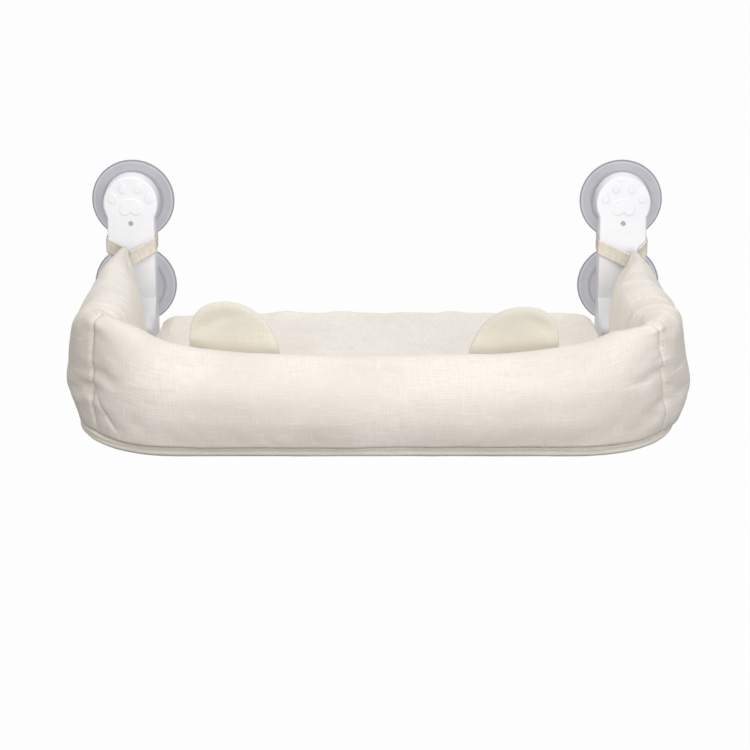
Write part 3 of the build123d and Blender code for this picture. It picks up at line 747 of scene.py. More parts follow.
loop = node(stitching, "GeometryNodeTransform", {"Geometry": bead, "Scale": size}).outputs[0]
loop = node(stitching, "GeometryNodeSetShadeSmooth", {"Geometry": loop}).outputs[0]
vary = node(stitching, "FunctionNodeRandomValue", {2: 0.8, 3: 1.1, 8: given["Seed"]}).outputs[1]
placed = {"Points": cut, "Instance": loop, "Rotation": turned, "Scale": vary}
placed = node(stitching, "GeometryNodeInstanceOnPoints", placed).outputs[0]
end_tree(stitching, placed, given["Material"])


# %% Sew along lines
def sewn_rows(name, lines, pitch, length, thread=0.0006, seed=1, lean=0.12):
    """Stitches along lines; each line is its points and the directions the cloth faces there."""
    row = chains(name, [line for line, _ in lines])
    directions = np.concatenate([facing for _, facing in lines]).astype(np.float32)
    attribute = row.data.attributes.new("facing", "FLOAT_VECTOR", "POINT")
    attribute.data.foreach_set("vector", directions.ravel())
    values = {"Pitch": pitch, "Stitch length": length, "Thread": thread, "Lean": lean, "Seed": seed}
    grown(row, stitching, {**values, "Material": sewing_thread})
    print(name, "has", len(row.data.polygons), "faces")
    return row


# %% [markdown]
# ## The stuffed rim
#
# Bolster and wings are one U of stuffing round the tray. They follow the frame: a
# straight front, a quarter turn at each corner and a side that runs back to the
# arm. One function gives the place of any section on that path, so the front and
# the wings meet exactly at the sewn corner seam, about halfway round the turn.

# %% The rim's path
front_box, wing_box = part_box("front_bolster"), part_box("right_wing")
arm_box, sling_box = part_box("right_arm_shell"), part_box("sling")
CORNER_REACH = 0.102
REACH_PEAK_SHARE = 1.03
corner_x = wing_box[1][0] - CORNER_REACH * REACH_PEAK_SHARE
corner_y = front_box[0][1] + CORNER_REACH
BEND_RADIUS = 0.080
BEND_LENGTH = BEND_RADIUS * math.pi / 2
SEAM_SHARE = 0.54
SEAM_AT = corner_x + BEND_LENGTH * SEAM_SHARE
base_z = front_box[0][2]
tip_y = wing_box[1][1]
SIDE_START = corner_x + BEND_LENGTH
RIM_END = SIDE_START + (tip_y - corner_y)


def rim_axes(distance):
    """The section's centre and its outward direction, at a distance from the middle of the front."""
    side = 1 if distance >= 0 else -1
    distance = abs(distance)
    if distance <= corner_x:
        return np.array([side * distance, corner_y]), np.array([0.0, -1.0])
    turn = min((distance - corner_x) / BEND_RADIUS, math.pi / 2)
    beyond = max(distance - corner_x - BEND_LENGTH, 0.0)
    centre = np.array([side * corner_x, corner_y + beyond])
    return centre, np.array([side * math.sin(turn), -math.cos(turn)])


# %% Sections of the rim
BASE_POINTS, SIDE_POINTS, RIDGE_POINTS = 8, 16, 8
INNER_BELLY_SHARE = 0.74
SHOULDER_SHARE = 0.8
FEET = ((0.0, 0.035), (corner_x, 0.035), (SEAM_AT, 0.05), (SIDE_START, 0.08), (RIM_END, 0.08))


def rim_section(foot, reach, thickness, top, base, ridge_share, belly_share, crown):
    """A closed section from the middle of its base, out, up, over the ridge and back."""
    inner, height = reach - thickness, top - base
    ridge = inner + thickness * ridge_share
    shoulder = height - crown * SHOULDER_SHARE
    foot_in, foot_out = inner + thickness * foot, reach - thickness * foot
    middle = (foot_in + foot_out) / 2
    half_base = BASE_POINTS // 2
    belly, inner_belly = height * belly_share, height * belly_share * INNER_BELLY_SHARE
    points = [
        np.stack([np.linspace(middle, foot_out, half_base, endpoint=False), np.zeros(half_base)], 1),
        arc((foot_out, 0), (reach, belly), (ridge + crown, shoulder), SIDE_POINTS),
        arc((ridge + crown, shoulder), (ridge, height), (ridge - crown, shoulder), RIDGE_POINTS),
        arc((ridge - crown, shoulder), (inner, inner_belly), (foot_in, 0), SIDE_POINTS),
        np.stack([np.linspace(foot_in, middle, half_base, endpoint=False), np.zeros(half_base)], 1),
    ]
    points = np.concatenate(points)
    points[:, 1] += base
    return points


def rim_rings(distances, table):
    """Rings of points at distances along the rim, from a table of sections."""
    table = np.array(table)
    rings = []
    for distance in distances:
        foot = float(joined(*zip(*FEET), abs(distance)))
        sizes = [float(joined(table[:, 0], column, abs(distance))) for column in table.T[1:]]
        section = rim_section(foot, *sizes)
        centre, outward = rim_axes(distance)
        flat = centre + section[:, :1] * outward
        rings.append(np.column_stack([flat, section[:, 1]]))
    return np.array(rings)


def lengths_along(points):
    """Distance along a line at each of its points."""
    return np.concatenate([[0], np.cumsum(np.linalg.norm(np.diff(points, axis=0), axis=1))])


def ring_lengths(ring):
    """Distance round a ring at each of its points, and its whole length at the end."""
    return lengths_along(np.vstack([ring, ring[:1]]))


# %% [markdown]
# ## Shape of the rim
#
# The front wall is low in the middle and climbs to the corners, where it is sewn to
# the wings. A wing turns back along the tray and narrows to a tip that is sewn to
# the strap on the arm. Over the arm's foot its base is lifted, as the real cover is
# cut away there. The table holds, at a few distances from the middle of the front,
# how far a section reaches out, how thick it is, its top, its base, where its ridge
# and belly lie, and how round its top is.

# %% Table of the rim
FRONT_TOP = base_z + 0.077
CORNER_TOP = front_box[1][2] - 0.001
RIM_TABLE = [
    (0.0, 0.0995, 0.077, FRONT_TOP, base_z, 0.50, 0.46, 0.016),
    (0.10, 0.0995, 0.077, FRONT_TOP + 0.001, base_z, 0.50, 0.46, 0.016),
    (corner_x - 0.030, 0.0995, 0.075, FRONT_TOP + 0.006, base_z, 0.51, 0.46, 0.015),
    (corner_x + 0.008, 0.098, 0.071, FRONT_TOP + 0.015, base_z, 0.56, 0.47, 0.015),
    (corner_x + 0.036, 0.096, 0.065, FRONT_TOP + 0.025, base_z, 0.68, 0.49, 0.013),
    (SEAM_AT, 0.092, 0.058, CORNER_TOP, base_z, 0.80, 0.52, 0.010),
    (SEAM_AT + 0.016, 0.093, 0.056, CORNER_TOP + 0.0015, base_z, 0.72, 0.56, 0.014),
    (SEAM_AT + 0.034, 0.094, 0.055, CORNER_TOP, base_z, 0.64, 0.59, 0.018),
    (SIDE_START, 0.094, 0.054, CORNER_TOP - 0.003, base_z, 0.58, 0.61, 0.020),
    (SIDE_START + 0.070, 0.095, 0.053, CORNER_TOP - 0.010, base_z, 0.55, 0.62, 0.021),
    (SIDE_START + 0.128, 0.093, 0.050, CORNER_TOP - 0.014, base_z, 0.55, 0.62, 0.018),
    (SIDE_START + 0.162, 0.090, 0.043, CORNER_TOP - 0.015, base_z + 0.010, 0.58, 0.62, 0.014),
    (SIDE_START + 0.190, 0.085, 0.032, CORNER_TOP - 0.016, base_z + 0.026, 0.60, 0.60, 0.010),
    (RIM_END - 0.012, 0.078, 0.016, CORNER_TOP - 0.018, base_z + 0.040, 0.56, 0.58, 0.005),
    (RIM_END, 0.074, 0.005, CORNER_TOP - 0.020, base_z + 0.068, 0.50, 0.55, 0.002),
]
GRID_STEP = 0.0055
front_count = round(SEAM_AT / GRID_STEP)
wing_count = round((RIM_END - SEAM_AT) / GRID_STEP)
half_front = np.linspace(0, SEAM_AT, front_count + 1)
half_rim = np.concatenate([half_front, np.linspace(SEAM_AT, RIM_END, wing_count + 1)[1:]])
rim_distances = np.concatenate([-half_rim[:0:-1], half_rim])
rings = rim_rings(rim_distances, RIM_TABLE)
rim_round = ring_lengths(rings[len(rings) // 2])
rim = tube("rim", rings, rim_distances, rim_round, cream_linen)
print("rim girth", round(rim_round[-1], 3), "m, length", round(2 * RIM_END, 3), "m")

# %% [markdown]
# ## Stuffing and seams
#
# The rim is puffed as one piece, with the corner seams pinned, so that the bolster
# and the wings swell against each other as they do on the real tray. A valley is
# then pressed in along each seam and the cloth beside it is gathered, because a
# seam is shorter than the cloth it joins. Where the wing bends round the corner
# the cloth on its top is too long, and it lies in a row of small folds across it.

# %% Puff the rim
CALM_SHARE = 0.75
along = np.abs(read_attribute(rim.data, "along"))
pins = (np.abs(along - SEAM_AT) < GRID_STEP * 0.6) * 0.9
pins = np.maximum(pins, places_of(rim.data)[:, 2] < base_z + 0.001)
pins = np.maximum(pins, step(along, RIM_END - 0.035, RIM_END))
flat_rim = places_of(rim.data)
puff(rim, pins, growth=0.014, cap=0.0046, stiffness=0.6)
calm = CALM_SHARE * step(SEAM_AT - 0.01 - along, 0, 0.06) * step(base_z + 0.055 - flat_rim[:, 2], 0, 0.03)
move_to(rim.data, flat_rim + (places_of(rim.data) - flat_rim) * (1 - calm)[:, None])
refine(rim, 2)


# %% Sizes of seams, folds and creases
SEAM_TO_STITCH = GRID_STEP / 2
VALLEY, VALLEY_WIDTH, GATHER = 0.0026, 0.0022, 0.0012
FINE_PITCH, FINE_FADE = 0.0058, 0.010
BROAD_PITCH, BROAD_FADE, BROAD_SHARE, BROAD_SLANT = 0.015, 0.040, 1.2, 0.45
LULL, LONG_FOLD, OVERHANG = 0.0011, 0.0007, 0.0006
JUNCTION_HEIGHT, JUNCTION_REACH = 0.047, 0.036
CREASE, CREASE_WIDTH = 0.0012, 0.0030
FINE_FAN, BROAD_FAN = 0.0011, 0.0014
LIP_START, LIP_END, LIP_DROP, LIP_WAVER = 0.076, 0.090, 0.0034, 0.0008
TIP_REACH, SEAM_REACH = 0.035, 0.042
LEFT_GIRTH_START = 3.0
TIP_SHIFTS = {-1: (0.0035, 0.0038), 1: (0.0035, -0.0015)}
CORNER_LIFTS = {-1: 0.0050, 1: -0.0048}
PLEATS = ((0.0054, 0.060, 0.045, 0.0115), (0.0036, 0.095, 0.080, 0.0066))
BULGES = {-1: (0.0040, -0.052, 0.016), 1: (0.0075, -0.060, 0.026)}


# %% Press the seams and gather the cloth
def gathered(made):
    """Press in the corner seams, bunch the cloth beside them and let the front overhang its band."""
    mesh = made.data
    places, normals = places_of(mesh), places_of(mesh, normals=True)
    distance = read_attribute(mesh, "along")
    path = np.abs(distance)
    off = np.abs(path - SEAM_AT)
    loop = read_attribute(mesh, "round")
    girth = loop + np.where(distance > 0, 0.0, LEFT_GIRTH_START)
    height = (places[:, 2] - base_z) / (CORNER_TOP - base_z)
    lively = step(height, -0.05, 0.2)
    slant = girth + BROAD_SLANT * off * np.where(height < 0.5, 1, -1)
    fine = wander(girth / FINE_PITCH, off / 0.05, 11) * np.exp(-off / FINE_FADE)
    broad = wander(slant / BROAD_PITCH, off / 0.07, 12) * np.exp(-off / BROAD_FADE)
    tuck = 0.8 + 0.5 * wander(girth / 0.010, 0, 13)
    press = -VALLEY * np.exp(-(off / VALLEY_WIDTH) ** 2) * tuck * step(height, 0.0, 0.15)
    upper = step(normals[:, 2], 0.0, 0.7)
    pleats = [np.where(distance < 0, left, right) for left, right in zip(*PLEATS)]
    bend = pleats[0] * np.exp(-((path - SEAM_AT - pleats[1]) / pleats[2]) ** 2) * upper
    rows = wander(distance / pleats[3], girth / 0.07, 14) + 0.4 * wander(distance / 0.0045, girth / 0.05, 17)
    lull = wander(distance / 0.055, loop / 0.030, 15) * lively
    long_folds = wander((loop + 0.10 * off) / 0.013, path / 0.085, 16) * np.exp(-off / 0.09) * lively
    outer = step(-normals[:, 2], 0.05, 0.6) * (path < SEAM_AT)
    crease_at = base_z + JUNCTION_HEIGHT * np.clip(1 - off / JUNCTION_REACH, 0, 1) ** 1.3
    below = (crease_at - places[:, 2]) * (distance < 0) * (path < SEAM_AT)
    begun = step(crease_at, base_z + 0.004, base_z + 0.012)
    fold = -CREASE * np.exp(-(below / CREASE_WIDTH) ** 2) * begun * (below != 0)
    tip = np.clip(RIM_END - path, 0, None)
    fan = wander(girth / 0.0034, tip / 0.05, 18) * np.exp(-tip / 0.016) * FINE_FAN
    fan += wander(girth / 0.008, tip / 0.08, 19) * np.exp(-tip / 0.045) * BROAD_FAN
    lift = press + fold + fan + GATHER * lively * (fine + BROAD_SHARE * broad) + rows * bend
    lift += LULL * lull + LONG_FOLD * long_folds + OVERHANG * outer
    places += normals * lift[:, None]
    beyond = np.stack([np.abs(places[:, 0]) - corner_x, corner_y - places[:, 1]])
    outward = np.hypot(*np.maximum(beyond, 0))
    facing_down = step(-normals[:, 2], 0.10, 0.45)
    lip = facing_down * step(outward, LIP_START, LIP_END) * step(SEAM_AT + 0.09 - path, 0, 0.06)
    places[:, 2] -= (LIP_DROP + LIP_WAVER * wander(distance / 0.026, 0, 20)) * lip
    for side, (sideways, upwards) in TIP_SHIFTS.items():
        near_tip = np.exp(-(tip / TIP_REACH) ** 2) * (distance * side > 0)
        places[:, 0] += sideways * near_tip
        places[:, 2] += upwards * near_tip
        near_seam = np.exp(-((path - SEAM_AT) / SEAM_REACH) ** 2) * (distance * side > 0)
        places[:, 2] += CORNER_LIFTS[side] * near_seam * step(height, 0.45, 1.0)
    for side, (outwards, level, reach) in BULGES.items():
        share = step(path, SEAM_AT - 0.07, SEAM_AT - 0.02) * step(tip, 0.03, 0.08) * (distance * side > 0)
        outer_face = step(places[:, 0] * side, corner_x + 0.03, corner_x + 0.07)
        share *= outer_face * np.exp(-((places[:, 2] - level) / reach) ** 2)
        places[:, 0] += side * outwards * share
    move_to(mesh, places)


gathered(rim)

# %% Lines for the seam stitches
def seam_line(side):
    """The seam's points and directions, from the outer foot up and over the top."""
    mesh = rim.data
    places, normals = places_of(mesh), places_of(mesh, normals=True)
    distance, loop = read_attribute(mesh, "along"), read_attribute(mesh, "round")
    target = SEAM_AT + SEAM_TO_STITCH
    nearest = distance[np.argmin(np.abs(distance * side - target))]
    ring = np.where(np.abs(distance - nearest) < 1e-5)[0]
    ring = ring[np.argsort(loop[ring])]
    ring = ring[(loop[ring] > rim_round[BASE_POINTS]) & (loop[ring] < rim_round[-BASE_POINTS * 2])]
    return places[ring] + normals[ring] * 0.0001, normals[ring]


seam_lines = [seam_line(side) for side in (1, -1)]

# %% [markdown]
# ## Cutting the rim at its seams
#
# The bolster and the wings are separate bags of cloth. They are cut from the one
# rim along the seam, where both then have exactly the same edge, and each cut is
# closed. The bolster rides with the tray, and each wing keeps its place with its
# shape baked in.

# %% Bolster and wings
def part_of(made, name, kept):
    """A copy with only the kept faces, its open edges closed."""
    work = bmesh.new()
    work.from_mesh(made.data)
    work.faces.ensure_lookup_table()
    bmesh.ops.delete(work, geom=[f for f, keep in zip(work.faces, kept) if not keep], context="FACES")
    edges = [edge for edge in work.edges if edge.is_boundary]
    bmesh.ops.triangulate(work, faces=bmesh.ops.holes_fill(work, edges=edges)["faces"])
    mesh = bpy.data.meshes.new(name)
    work.to_mesh(mesh)
    work.free()
    return piece_from(name, mesh, cream_linen)


point_along = read_attribute(rim.data, "along")
face_along = np.array([point_along[list(face.vertices)].mean() for face in rim.data.polygons])
bolster = part_of(rim, "front_bolster_cover", np.abs(face_along) < SEAM_AT)
wings = {
    "left": part_of(rim, "left_wing_cover", face_along < -SEAM_AT),
    "right": part_of(rim, "right_wing_cover", face_along > SEAM_AT),
}
bpy.data.objects.remove(rim)
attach(bolster, "tray")
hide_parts("front_bolster")
for name, wing in wings.items():
    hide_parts(f"{name}_wing")
    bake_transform(wing)
print("bolster", len(bolster.data.polygons), "faces, wing", len(wings["left"].data.polygons))

# %% Corner stitches
corner_stitches = sewn_rows("corner_stitches", seam_lines, pitch=0.0050, length=0.0026, thread=0.0008, seed=4)
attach(corner_stitches, "tray")

# %% [markdown]
# ## Seat cushion
#
# A thin cushion fills the tray. Two equal panels are sewn together round their
# edge, so it is thickest in the middle, its corners are drawn in, and its edges
# ripple where the cloth is a little longer than the seam. Both panels are the same
# square grid, bent to the outline, so the faces stay even up to the corners.

# %% Two panels sewn at their edge
def pillow(name, shape, columns, rows, thickness, swell, material, to_space):
    """A closed cushion. shape maps two shares to a flat point, and to_space adds a height to it.

    swell gives the share of the full thickness at two shares and a distance from the edge."""
    grid = np.array([[shape(i / columns, j / rows) for j in range(rows + 1)] for i in range(columns + 1)])
    border = np.concatenate([grid[:, 0], grid[-1, :], grid[::-1, -1], grid[0, ::-1]])
    off = np.linalg.norm(grid[:, :, None] - border, axis=3).min(2)
    shares = np.meshgrid(np.linspace(0, 1, columns + 1), np.linspace(0, 1, rows + 1), indexing="ij")
    height = thickness / 2 * swell(*shares, off)
    points, map_points, edge, index = [], [], [], {}
    for panel in (1, -1):
        for i in range(columns + 1):
            for j in range(rows + 1):
                sewn = i in (0, columns) or j in (0, rows)
                if panel == -1 and sewn:
                    index[panel, i, j] = index[1, i, j]
                    continue
                index[panel, i, j] = len(points)
                points.append(to_space(*grid[i, j], panel * height[i, j]))
                map_points.append(grid[i, j])
                edge.append(off[i, j])
    faces = []
    for panel in (1, -1):
        for i in range(columns):
            for j in range(rows):
                ring = [index[panel, i + a, j + b] for a, b in ((0, 0), (1, 0), (1, 1), (0, 1))]
                faces.append(ring if panel == 1 else ring[::-1])
    mesh = bpy.data.meshes.new(name)
    mesh.from_pydata([tuple(p) for p in points], [], faces)
    write_map(mesh, [map_points[v] for face in faces for v in face])
    write_attribute(mesh, "edge", edge)
    made = piece_from(name, mesh, material)
    face_outwards(mesh)
    return made


# %% Seat cushion
pad_low, pad_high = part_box("seat_pad")
pad_half_x, pad_half_y = (pad_high[0] - pad_low[0]) / 2, (pad_high[1] - pad_low[1]) / 2
pad_x, pad_y, _ = middle_of((pad_low, pad_high))
PAD_DRAW_SHARE = 0.10
PAD_THICKNESS = 0.0325


def pad_shape(s, t):
    """A rectangle whose corners are drawn in."""
    s, t = 2 * s - 1, 2 * t - 1
    x = s * math.sqrt(1 - PAD_DRAW_SHARE * t * t / 2 * s * s)
    y = t * math.sqrt(1 - PAD_DRAW_SHARE * s * s * t * t)
    return pad_half_x * x, pad_half_y * y


def pad_swell(s, t, off):
    """Soft long slopes to the sides and a rounder, steeper edge at the back and front."""
    left, right = (1 - np.abs(2 * s - 1) ** 5) ** 0.7, (1 - np.abs(2 * s - 1) ** 8) ** 0.5
    return np.where(s < 0.5, left, right) * (1 - np.abs(2 * t - 1) ** 18) ** 0.45


def pad_place(x, y, height):
    return pad_x + x, pad_y + y, pad_low[2] + PAD_THICKNESS / 2 + 0.0005 + height


pad = pillow("seat_cushion", pad_shape, 80, 42, PAD_THICKNESS, pad_swell, cream_linen, pad_place)
pad_edge = read_attribute(pad.data, "edge")
puff(pad, (pad_edge < 0.0005) * 0.5, growth=0.05, cap=0.005)
refine(pad, 2)
places, normals = places_of(pad.data), places_of(pad.data, normals=True)
edge = read_attribute(pad.data, "edge")
ripple = wander(places[:, 0] / 0.019, places[:, 1] / 0.030, 31) * np.exp(-edge / 0.03) * 0.002
soft = wander(places[:, 0] / 0.050, places[:, 1] / 0.040, 32) * 0.0015
places += normals * (ripple + soft)[:, None]
places[:, 2] = np.maximum(places[:, 2], sling_box[1][2] + 0.0003)
move_to(pad.data, places)
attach(pad, "tray")
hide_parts("seat_pad")
print("cushion top at", round(float(places[:, 2].max()), 4))

# %% [markdown]
# ## Ears
#
# Two flat padded half ovals stand behind the front bolster. Each one is steeper on
# its outer side, so they are nearly mirror images, and they lean against the bolster.

# %% Ears
ear_low, ear_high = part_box("right_ear")
EAR_LEAN_SHARE = 0.14
EAR_DEPTH = 0.0075
EAR_SIDES = np.array([
    (-0.0405, 0.0), (-0.0417, 0.020), (-0.0410, 0.0335), (-0.0371, 0.0456), (-0.0302, 0.0592),
    (-0.0233, 0.0670), (-0.0142, 0.0738), (-0.0027, 0.0782), (0.0087, 0.0796), (0.0185, 0.0785),
    (0.0270, 0.0752), (0.0339, 0.0689), (0.0385, 0.0602), (0.0413, 0.042), (0.0417, 0.020), (0.0405, 0.0),
])
EAR_FOOT_WIDTH = 0.066
EAR_ROUND, EAR_FULLNESS = 0.010, 2.2
EAR_PLACES = {"right": (-0.0027, 0.965), "left": (0.0025, 1.03)}
ear_steps = lengths_along(EAR_SIDES)
ear_x = middle_of((ear_low, ear_high))[0]


def ear_shape(s, t):
    """From the foot line, at t = 0, out to the curved edge, at t = 1."""
    at = s * ear_steps[-1]
    edge = np.array([joined(ear_steps, EAR_SIDES[:, 0], at), joined(ear_steps, EAR_SIDES[:, 1], at)])
    foot = np.array([(s - 0.5) * EAR_FOOT_WIDTH, 0.0])
    return foot * (1 - t) + edge * t


def ear_swell(s, t, off):
    """A tight rounded edge and a flat face."""
    return (1 - (1 - np.clip(off / EAR_ROUND, 0, 1)) ** EAR_FULLNESS) ** (1 / EAR_FULLNESS)


for side, name in ((1, "right"), (-1, "left")):
    shift, stretch = EAR_PLACES[name]

    def ear_place(x, y, height):
        depth = ear_high[1] - EAR_DEPTH + height - y * EAR_LEAN_SHARE
        return side * (ear_x + shift + x), depth, ear_low[2] + y * stretch

    ear = pillow(f"{name}_ear_pad", ear_shape, 46, 18, EAR_DEPTH, ear_swell, ear_linen, ear_place)
    ear_edge = read_attribute(ear.data, "edge")
    puff(ear, (ear_edge < 0.0005).astype(float), growth=0.02, cap=0.0015)
    refine(ear, 2)
    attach(ear, "tray")
    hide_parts(f"{name}_ear")

# %% [markdown]
# ## Straps
#
# A flat cotton strap goes round the neck of each arm, between its two cups. Both
# ends come forward over the arm, slant down and are folded under and sewn to the
# tip of the wing. A strap is stiff and flat, so it isn't simulated: its line is
# drawn round the arm, and a thin section with slightly thicker folded edges follows
# it. The section stays upright, because the strap lies flat on the arm.

# %% The strap's line and section
STRAP_CLOTH, STRAP_WIDTH = 0.0012, 0.0155
STRAP_STEP = 0.0008
STRAP_FOLD = 0.0095
STRAP_AIR = 0.0006
STITCH_HEIGHT = 0.0058
arm_skin = nodes["right_arm_shell"]
arm_middle = middle_of(arm_box)[0]
strap_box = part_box("right_strap")
neck_half = (strap_box[1][0] - strap_box[0][0]) / 2 - STRAP_CLOTH / 2
strap_back = strap_box[1][1] - STRAP_CLOTH / 2


def neck_front(height):
    """How far the arm's front face is from the glass, at a height."""
    return arm_skin.ray_cast(Vector((arm_middle, -0.3, height)), Vector((0, 1, 0)))[1][1]


def smoothed(values, reach):
    """A running mean that leaves the ends where they are."""
    kernel = np.hanning(2 * reach + 3)[1:-1]
    before, after = 2 * values[0] - values[reach:0:-1], 2 * values[-1] - values[-2:-reach - 2:-1]
    padded = np.concatenate([before, values, after])
    return np.convolve(padded, kernel / kernel.sum(), "valid")


def strap_line(side, inner_end, outer_end, level):
    """Points of the strap's middle line. An end is (x from the arm's middle, y, z)."""
    front = neck_front(level) - STRAP_CLOTH / 2 - STRAP_AIR
    corners = np.array([
        inner_end,
        (-neck_half, front, level),
        (-neck_half, strap_back, level),
        (neck_half, strap_back, level),
        (neck_half, front, level),
        outer_end,
    ])
    steps = lengths_along(corners)
    at = np.linspace(0, steps[-1], round(steps[-1] / STRAP_STEP))
    points = np.stack([smoothed(np.interp(at, steps, corners[:, k]), 3) for k in range(3)], 1)
    points[:, 0] = side * (arm_middle + points[:, 0])
    return points, at


def strap_rings(points, at, side, seed):
    """A flat section on each point of the line: thicker at its edges and where its ends are folded."""
    half = STRAP_WIDTH / 2
    edge_share = np.array([-1.0, -0.96, -0.84, -0.78, 0.0, 0.78, 0.84, 0.96, 1.0])
    thick_share = np.array([0.45, 0.95, 1.1, 0.85, 0.85, 0.85, 1.1, 0.95, 0.45])
    across = np.concatenate([edge_share, edge_share[::-1]]) * half
    out = np.concatenate([thick_share, -thick_share[::-1]]) * STRAP_CLOTH / 2
    tangent = np.gradient(points[:, :2], axis=0)
    tangent /= np.linalg.norm(tangent, axis=1)[:, None]
    normal = np.stack([tangent[:, 1], -tangent[:, 0]], 1) * -side
    ends = np.minimum(at, at[-1] - at)
    folded = 1 + 0.9 * step(STRAP_FOLD - ends, -0.0004, 0.0004)
    waver = wander(at / 0.012, 0, seed) * 0.0003
    rings = np.zeros((len(points), len(across), 3))
    thick = out[None] * folded[:, None] + waver[:, None]
    rings[:, :, :2] = points[:, None, :2] + normal[:, None] * thick[:, :, None]
    rings[:, :, 2] = points[:, None, 2] + across * (1 + 0.02 * wander(at / 0.02, 1, seed))[:, None]
    return rings, normal


# %% Straps
STRAP_ENDS = {
    "left": ((0.0008, -0.0450, -0.0052), (0.0062, -0.0415, -0.0010), 0.0072),
    "right": ((0.0080, -0.0450, -0.0086), (0.0165, -0.0415, -0.0026), 0.0052),
}
for seed, (name, (inner_end, outer_end, level)) in enumerate(STRAP_ENDS.items()):
    side = 1 if name == "right" else -1
    points, at = strap_line(side, inner_end, outer_end, level)
    rings, normal = strap_rings(points, at, side, 40 + seed)
    strap = tube(f"{name}_strap_band", rings, at, ring_lengths(rings[len(rings) // 2]), strap_tape)
    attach(strap, "arms")
    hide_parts(f"{name}_strap")
    facing = np.column_stack([normal, np.zeros(len(normal))])
    face = STRAP_CLOTH * 0.46
    inside = (at > 0.002) & (at < at[-1] - 0.002)
    rows = []
    for height in (-STITCH_HEIGHT, STITCH_HEIGHT):
        lifted = points + facing * face + np.array([0, 0, height])
        rows.append((lifted[inside], facing[inside]))
    for k in (4, 10, -5, -11):
        base = points[k] + facing[k] * STRAP_CLOTH * 0.85
        climb = np.linspace(-STITCH_HEIGHT, STITCH_HEIGHT, 9)
        rows.append((base + np.outer(climb, [0, 0, 1]), np.tile(facing[k], (9, 1))))
    strap_stitches = sewn_rows(f"{name}_strap_stitches", rows, 0.0027, 0.0021, 0.0005, seed + 7, 0.08)
    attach(strap_stitches, "arms")

# %% [markdown]
# ## Sleeves on the tubes
#
# The frame tube and the rear rail run in narrow sleeves of the base cloth. The front
# sleeve shows under the bolster as a double band with a crease along its middle. Its
# shape follows a rule, a round section along the tube's line, puckered by the
# stitching, so it is grown with Geometry Nodes: a curve is swept to a tube, and its
# points are moved by noise that is long along the tube and by one crease.

# %% Sleeve tree
sleeve_tree = bpy.data.node_groups.new("Gathered sleeve", "GeometryNodeTree")
sizes = dict.fromkeys(("Radius", "Step", "Pucker", "Crease", "Seed"), "Float")
given = inputs_of(sleeve_tree, {**sizes, "Material": "Material"})
cut = cut_line(sleeve_tree, given["Geometry"], given["Step"])
upright = node(sleeve_tree, "GeometryNodeSetCurveNormal", {"Curve": cut}, mode="Z_UP").outputs[0]
kept = node(sleeve_tree, "GeometryNodeCaptureAttribute", {"Geometry": upright}, domain="POINT")
kept.capture_items.new("FLOAT", "Travel")
sleeve_tree.links.new(node(sleeve_tree, "GeometryNodeSplineParameter").outputs["Length"], kept.inputs[1])
travel = kept.outputs[1]
circle = {"Resolution": 28, "Radius": given["Radius"]}
circle = node(sleeve_tree, "GeometryNodeCurvePrimitiveCircle", circle).outputs[0]
turn = node(sleeve_tree, "GeometryNodeCaptureAttribute", {"Geometry": circle}, domain="POINT")
turn.capture_items.new("FLOAT", "Turn")
sleeve_tree.links.new(node(sleeve_tree, "GeometryNodeSplineParameter").outputs["Factor"], turn.inputs[1])
swept = {"Curve": kept.outputs[0], "Profile Curve": turn.outputs[0]}
swept = node(sleeve_tree, "GeometryNodeCurveToMesh", swept).outputs[0]

# %% Puckers, crease and map of the sleeve
facing = node(sleeve_tree, "GeometryNodeInputNormal").outputs[0]
split = node(sleeve_tree, "ShaderNodeSeparateXYZ", {"Vector": facing}).outputs
around = maths(sleeve_tree, "ARCSINE", split["Z"])
along_noise = maths(sleeve_tree, "MULTIPLY", travel, 22.0)
around_noise = maths(sleeve_tree, "MULTIPLY", around, 1.6)
place = {"X": along_noise, "Y": around_noise, "Z": given["Seed"]}
place = node(sleeve_tree, "ShaderNodeCombineXYZ", place).outputs[0]
pucker = noise(sleeve_tree, place, 1.0, 3.0)
pucker = maths(sleeve_tree, "MULTIPLY", maths(sleeve_tree, "SUBTRACT", pucker, 0.5), given["Pucker"])
drift = maths(sleeve_tree, "MULTIPLY", travel, 9.0)
drift = noise(sleeve_tree, node(sleeve_tree, "ShaderNodeCombineXYZ", {"X": drift}).outputs[0], 1.0, 2.0)
crease_line = maths(sleeve_tree, "ADD", maths(sleeve_tree, "MULTIPLY", drift, 0.5), -0.32)
from_crease = maths(sleeve_tree, "ABSOLUTE", maths(sleeve_tree, "SUBTRACT", around, crease_line))
crease = maths(sleeve_tree, "MULTIPLY", ramp(sleeve_tree, from_crease, 0.0, 0.34, -1.0, 0.0), given["Crease"])
offset = node(sleeve_tree, "ShaderNodeVectorMath", {0: facing}, operation="SCALE")
sleeve_tree.links.new(maths(sleeve_tree, "ADD", pucker, crease), offset.inputs["Scale"])
moved = {"Geometry": swept, "Offset": offset.outputs[0]}
moved = node(sleeve_tree, "GeometryNodeSetPosition", moved).outputs[0]
round_length = maths(sleeve_tree, "MULTIPLY", turn.outputs[1], 0.043)
flat = node(sleeve_tree, "ShaderNodeCombineXYZ", {"X": travel, "Y": round_length}).outputs[0]
mapped = node(sleeve_tree, "GeometryNodeStoreNamedAttribute", data_type="FLOAT2", domain="CORNER")
for socket, value in (("Geometry", moved), ("Value", flat)):
    sleeve_tree.links.new(value, mapped.inputs[socket])
mapped.inputs["Name"].default_value = "cloth"
end_tree(sleeve_tree, mapped.outputs[0], given["Material"])


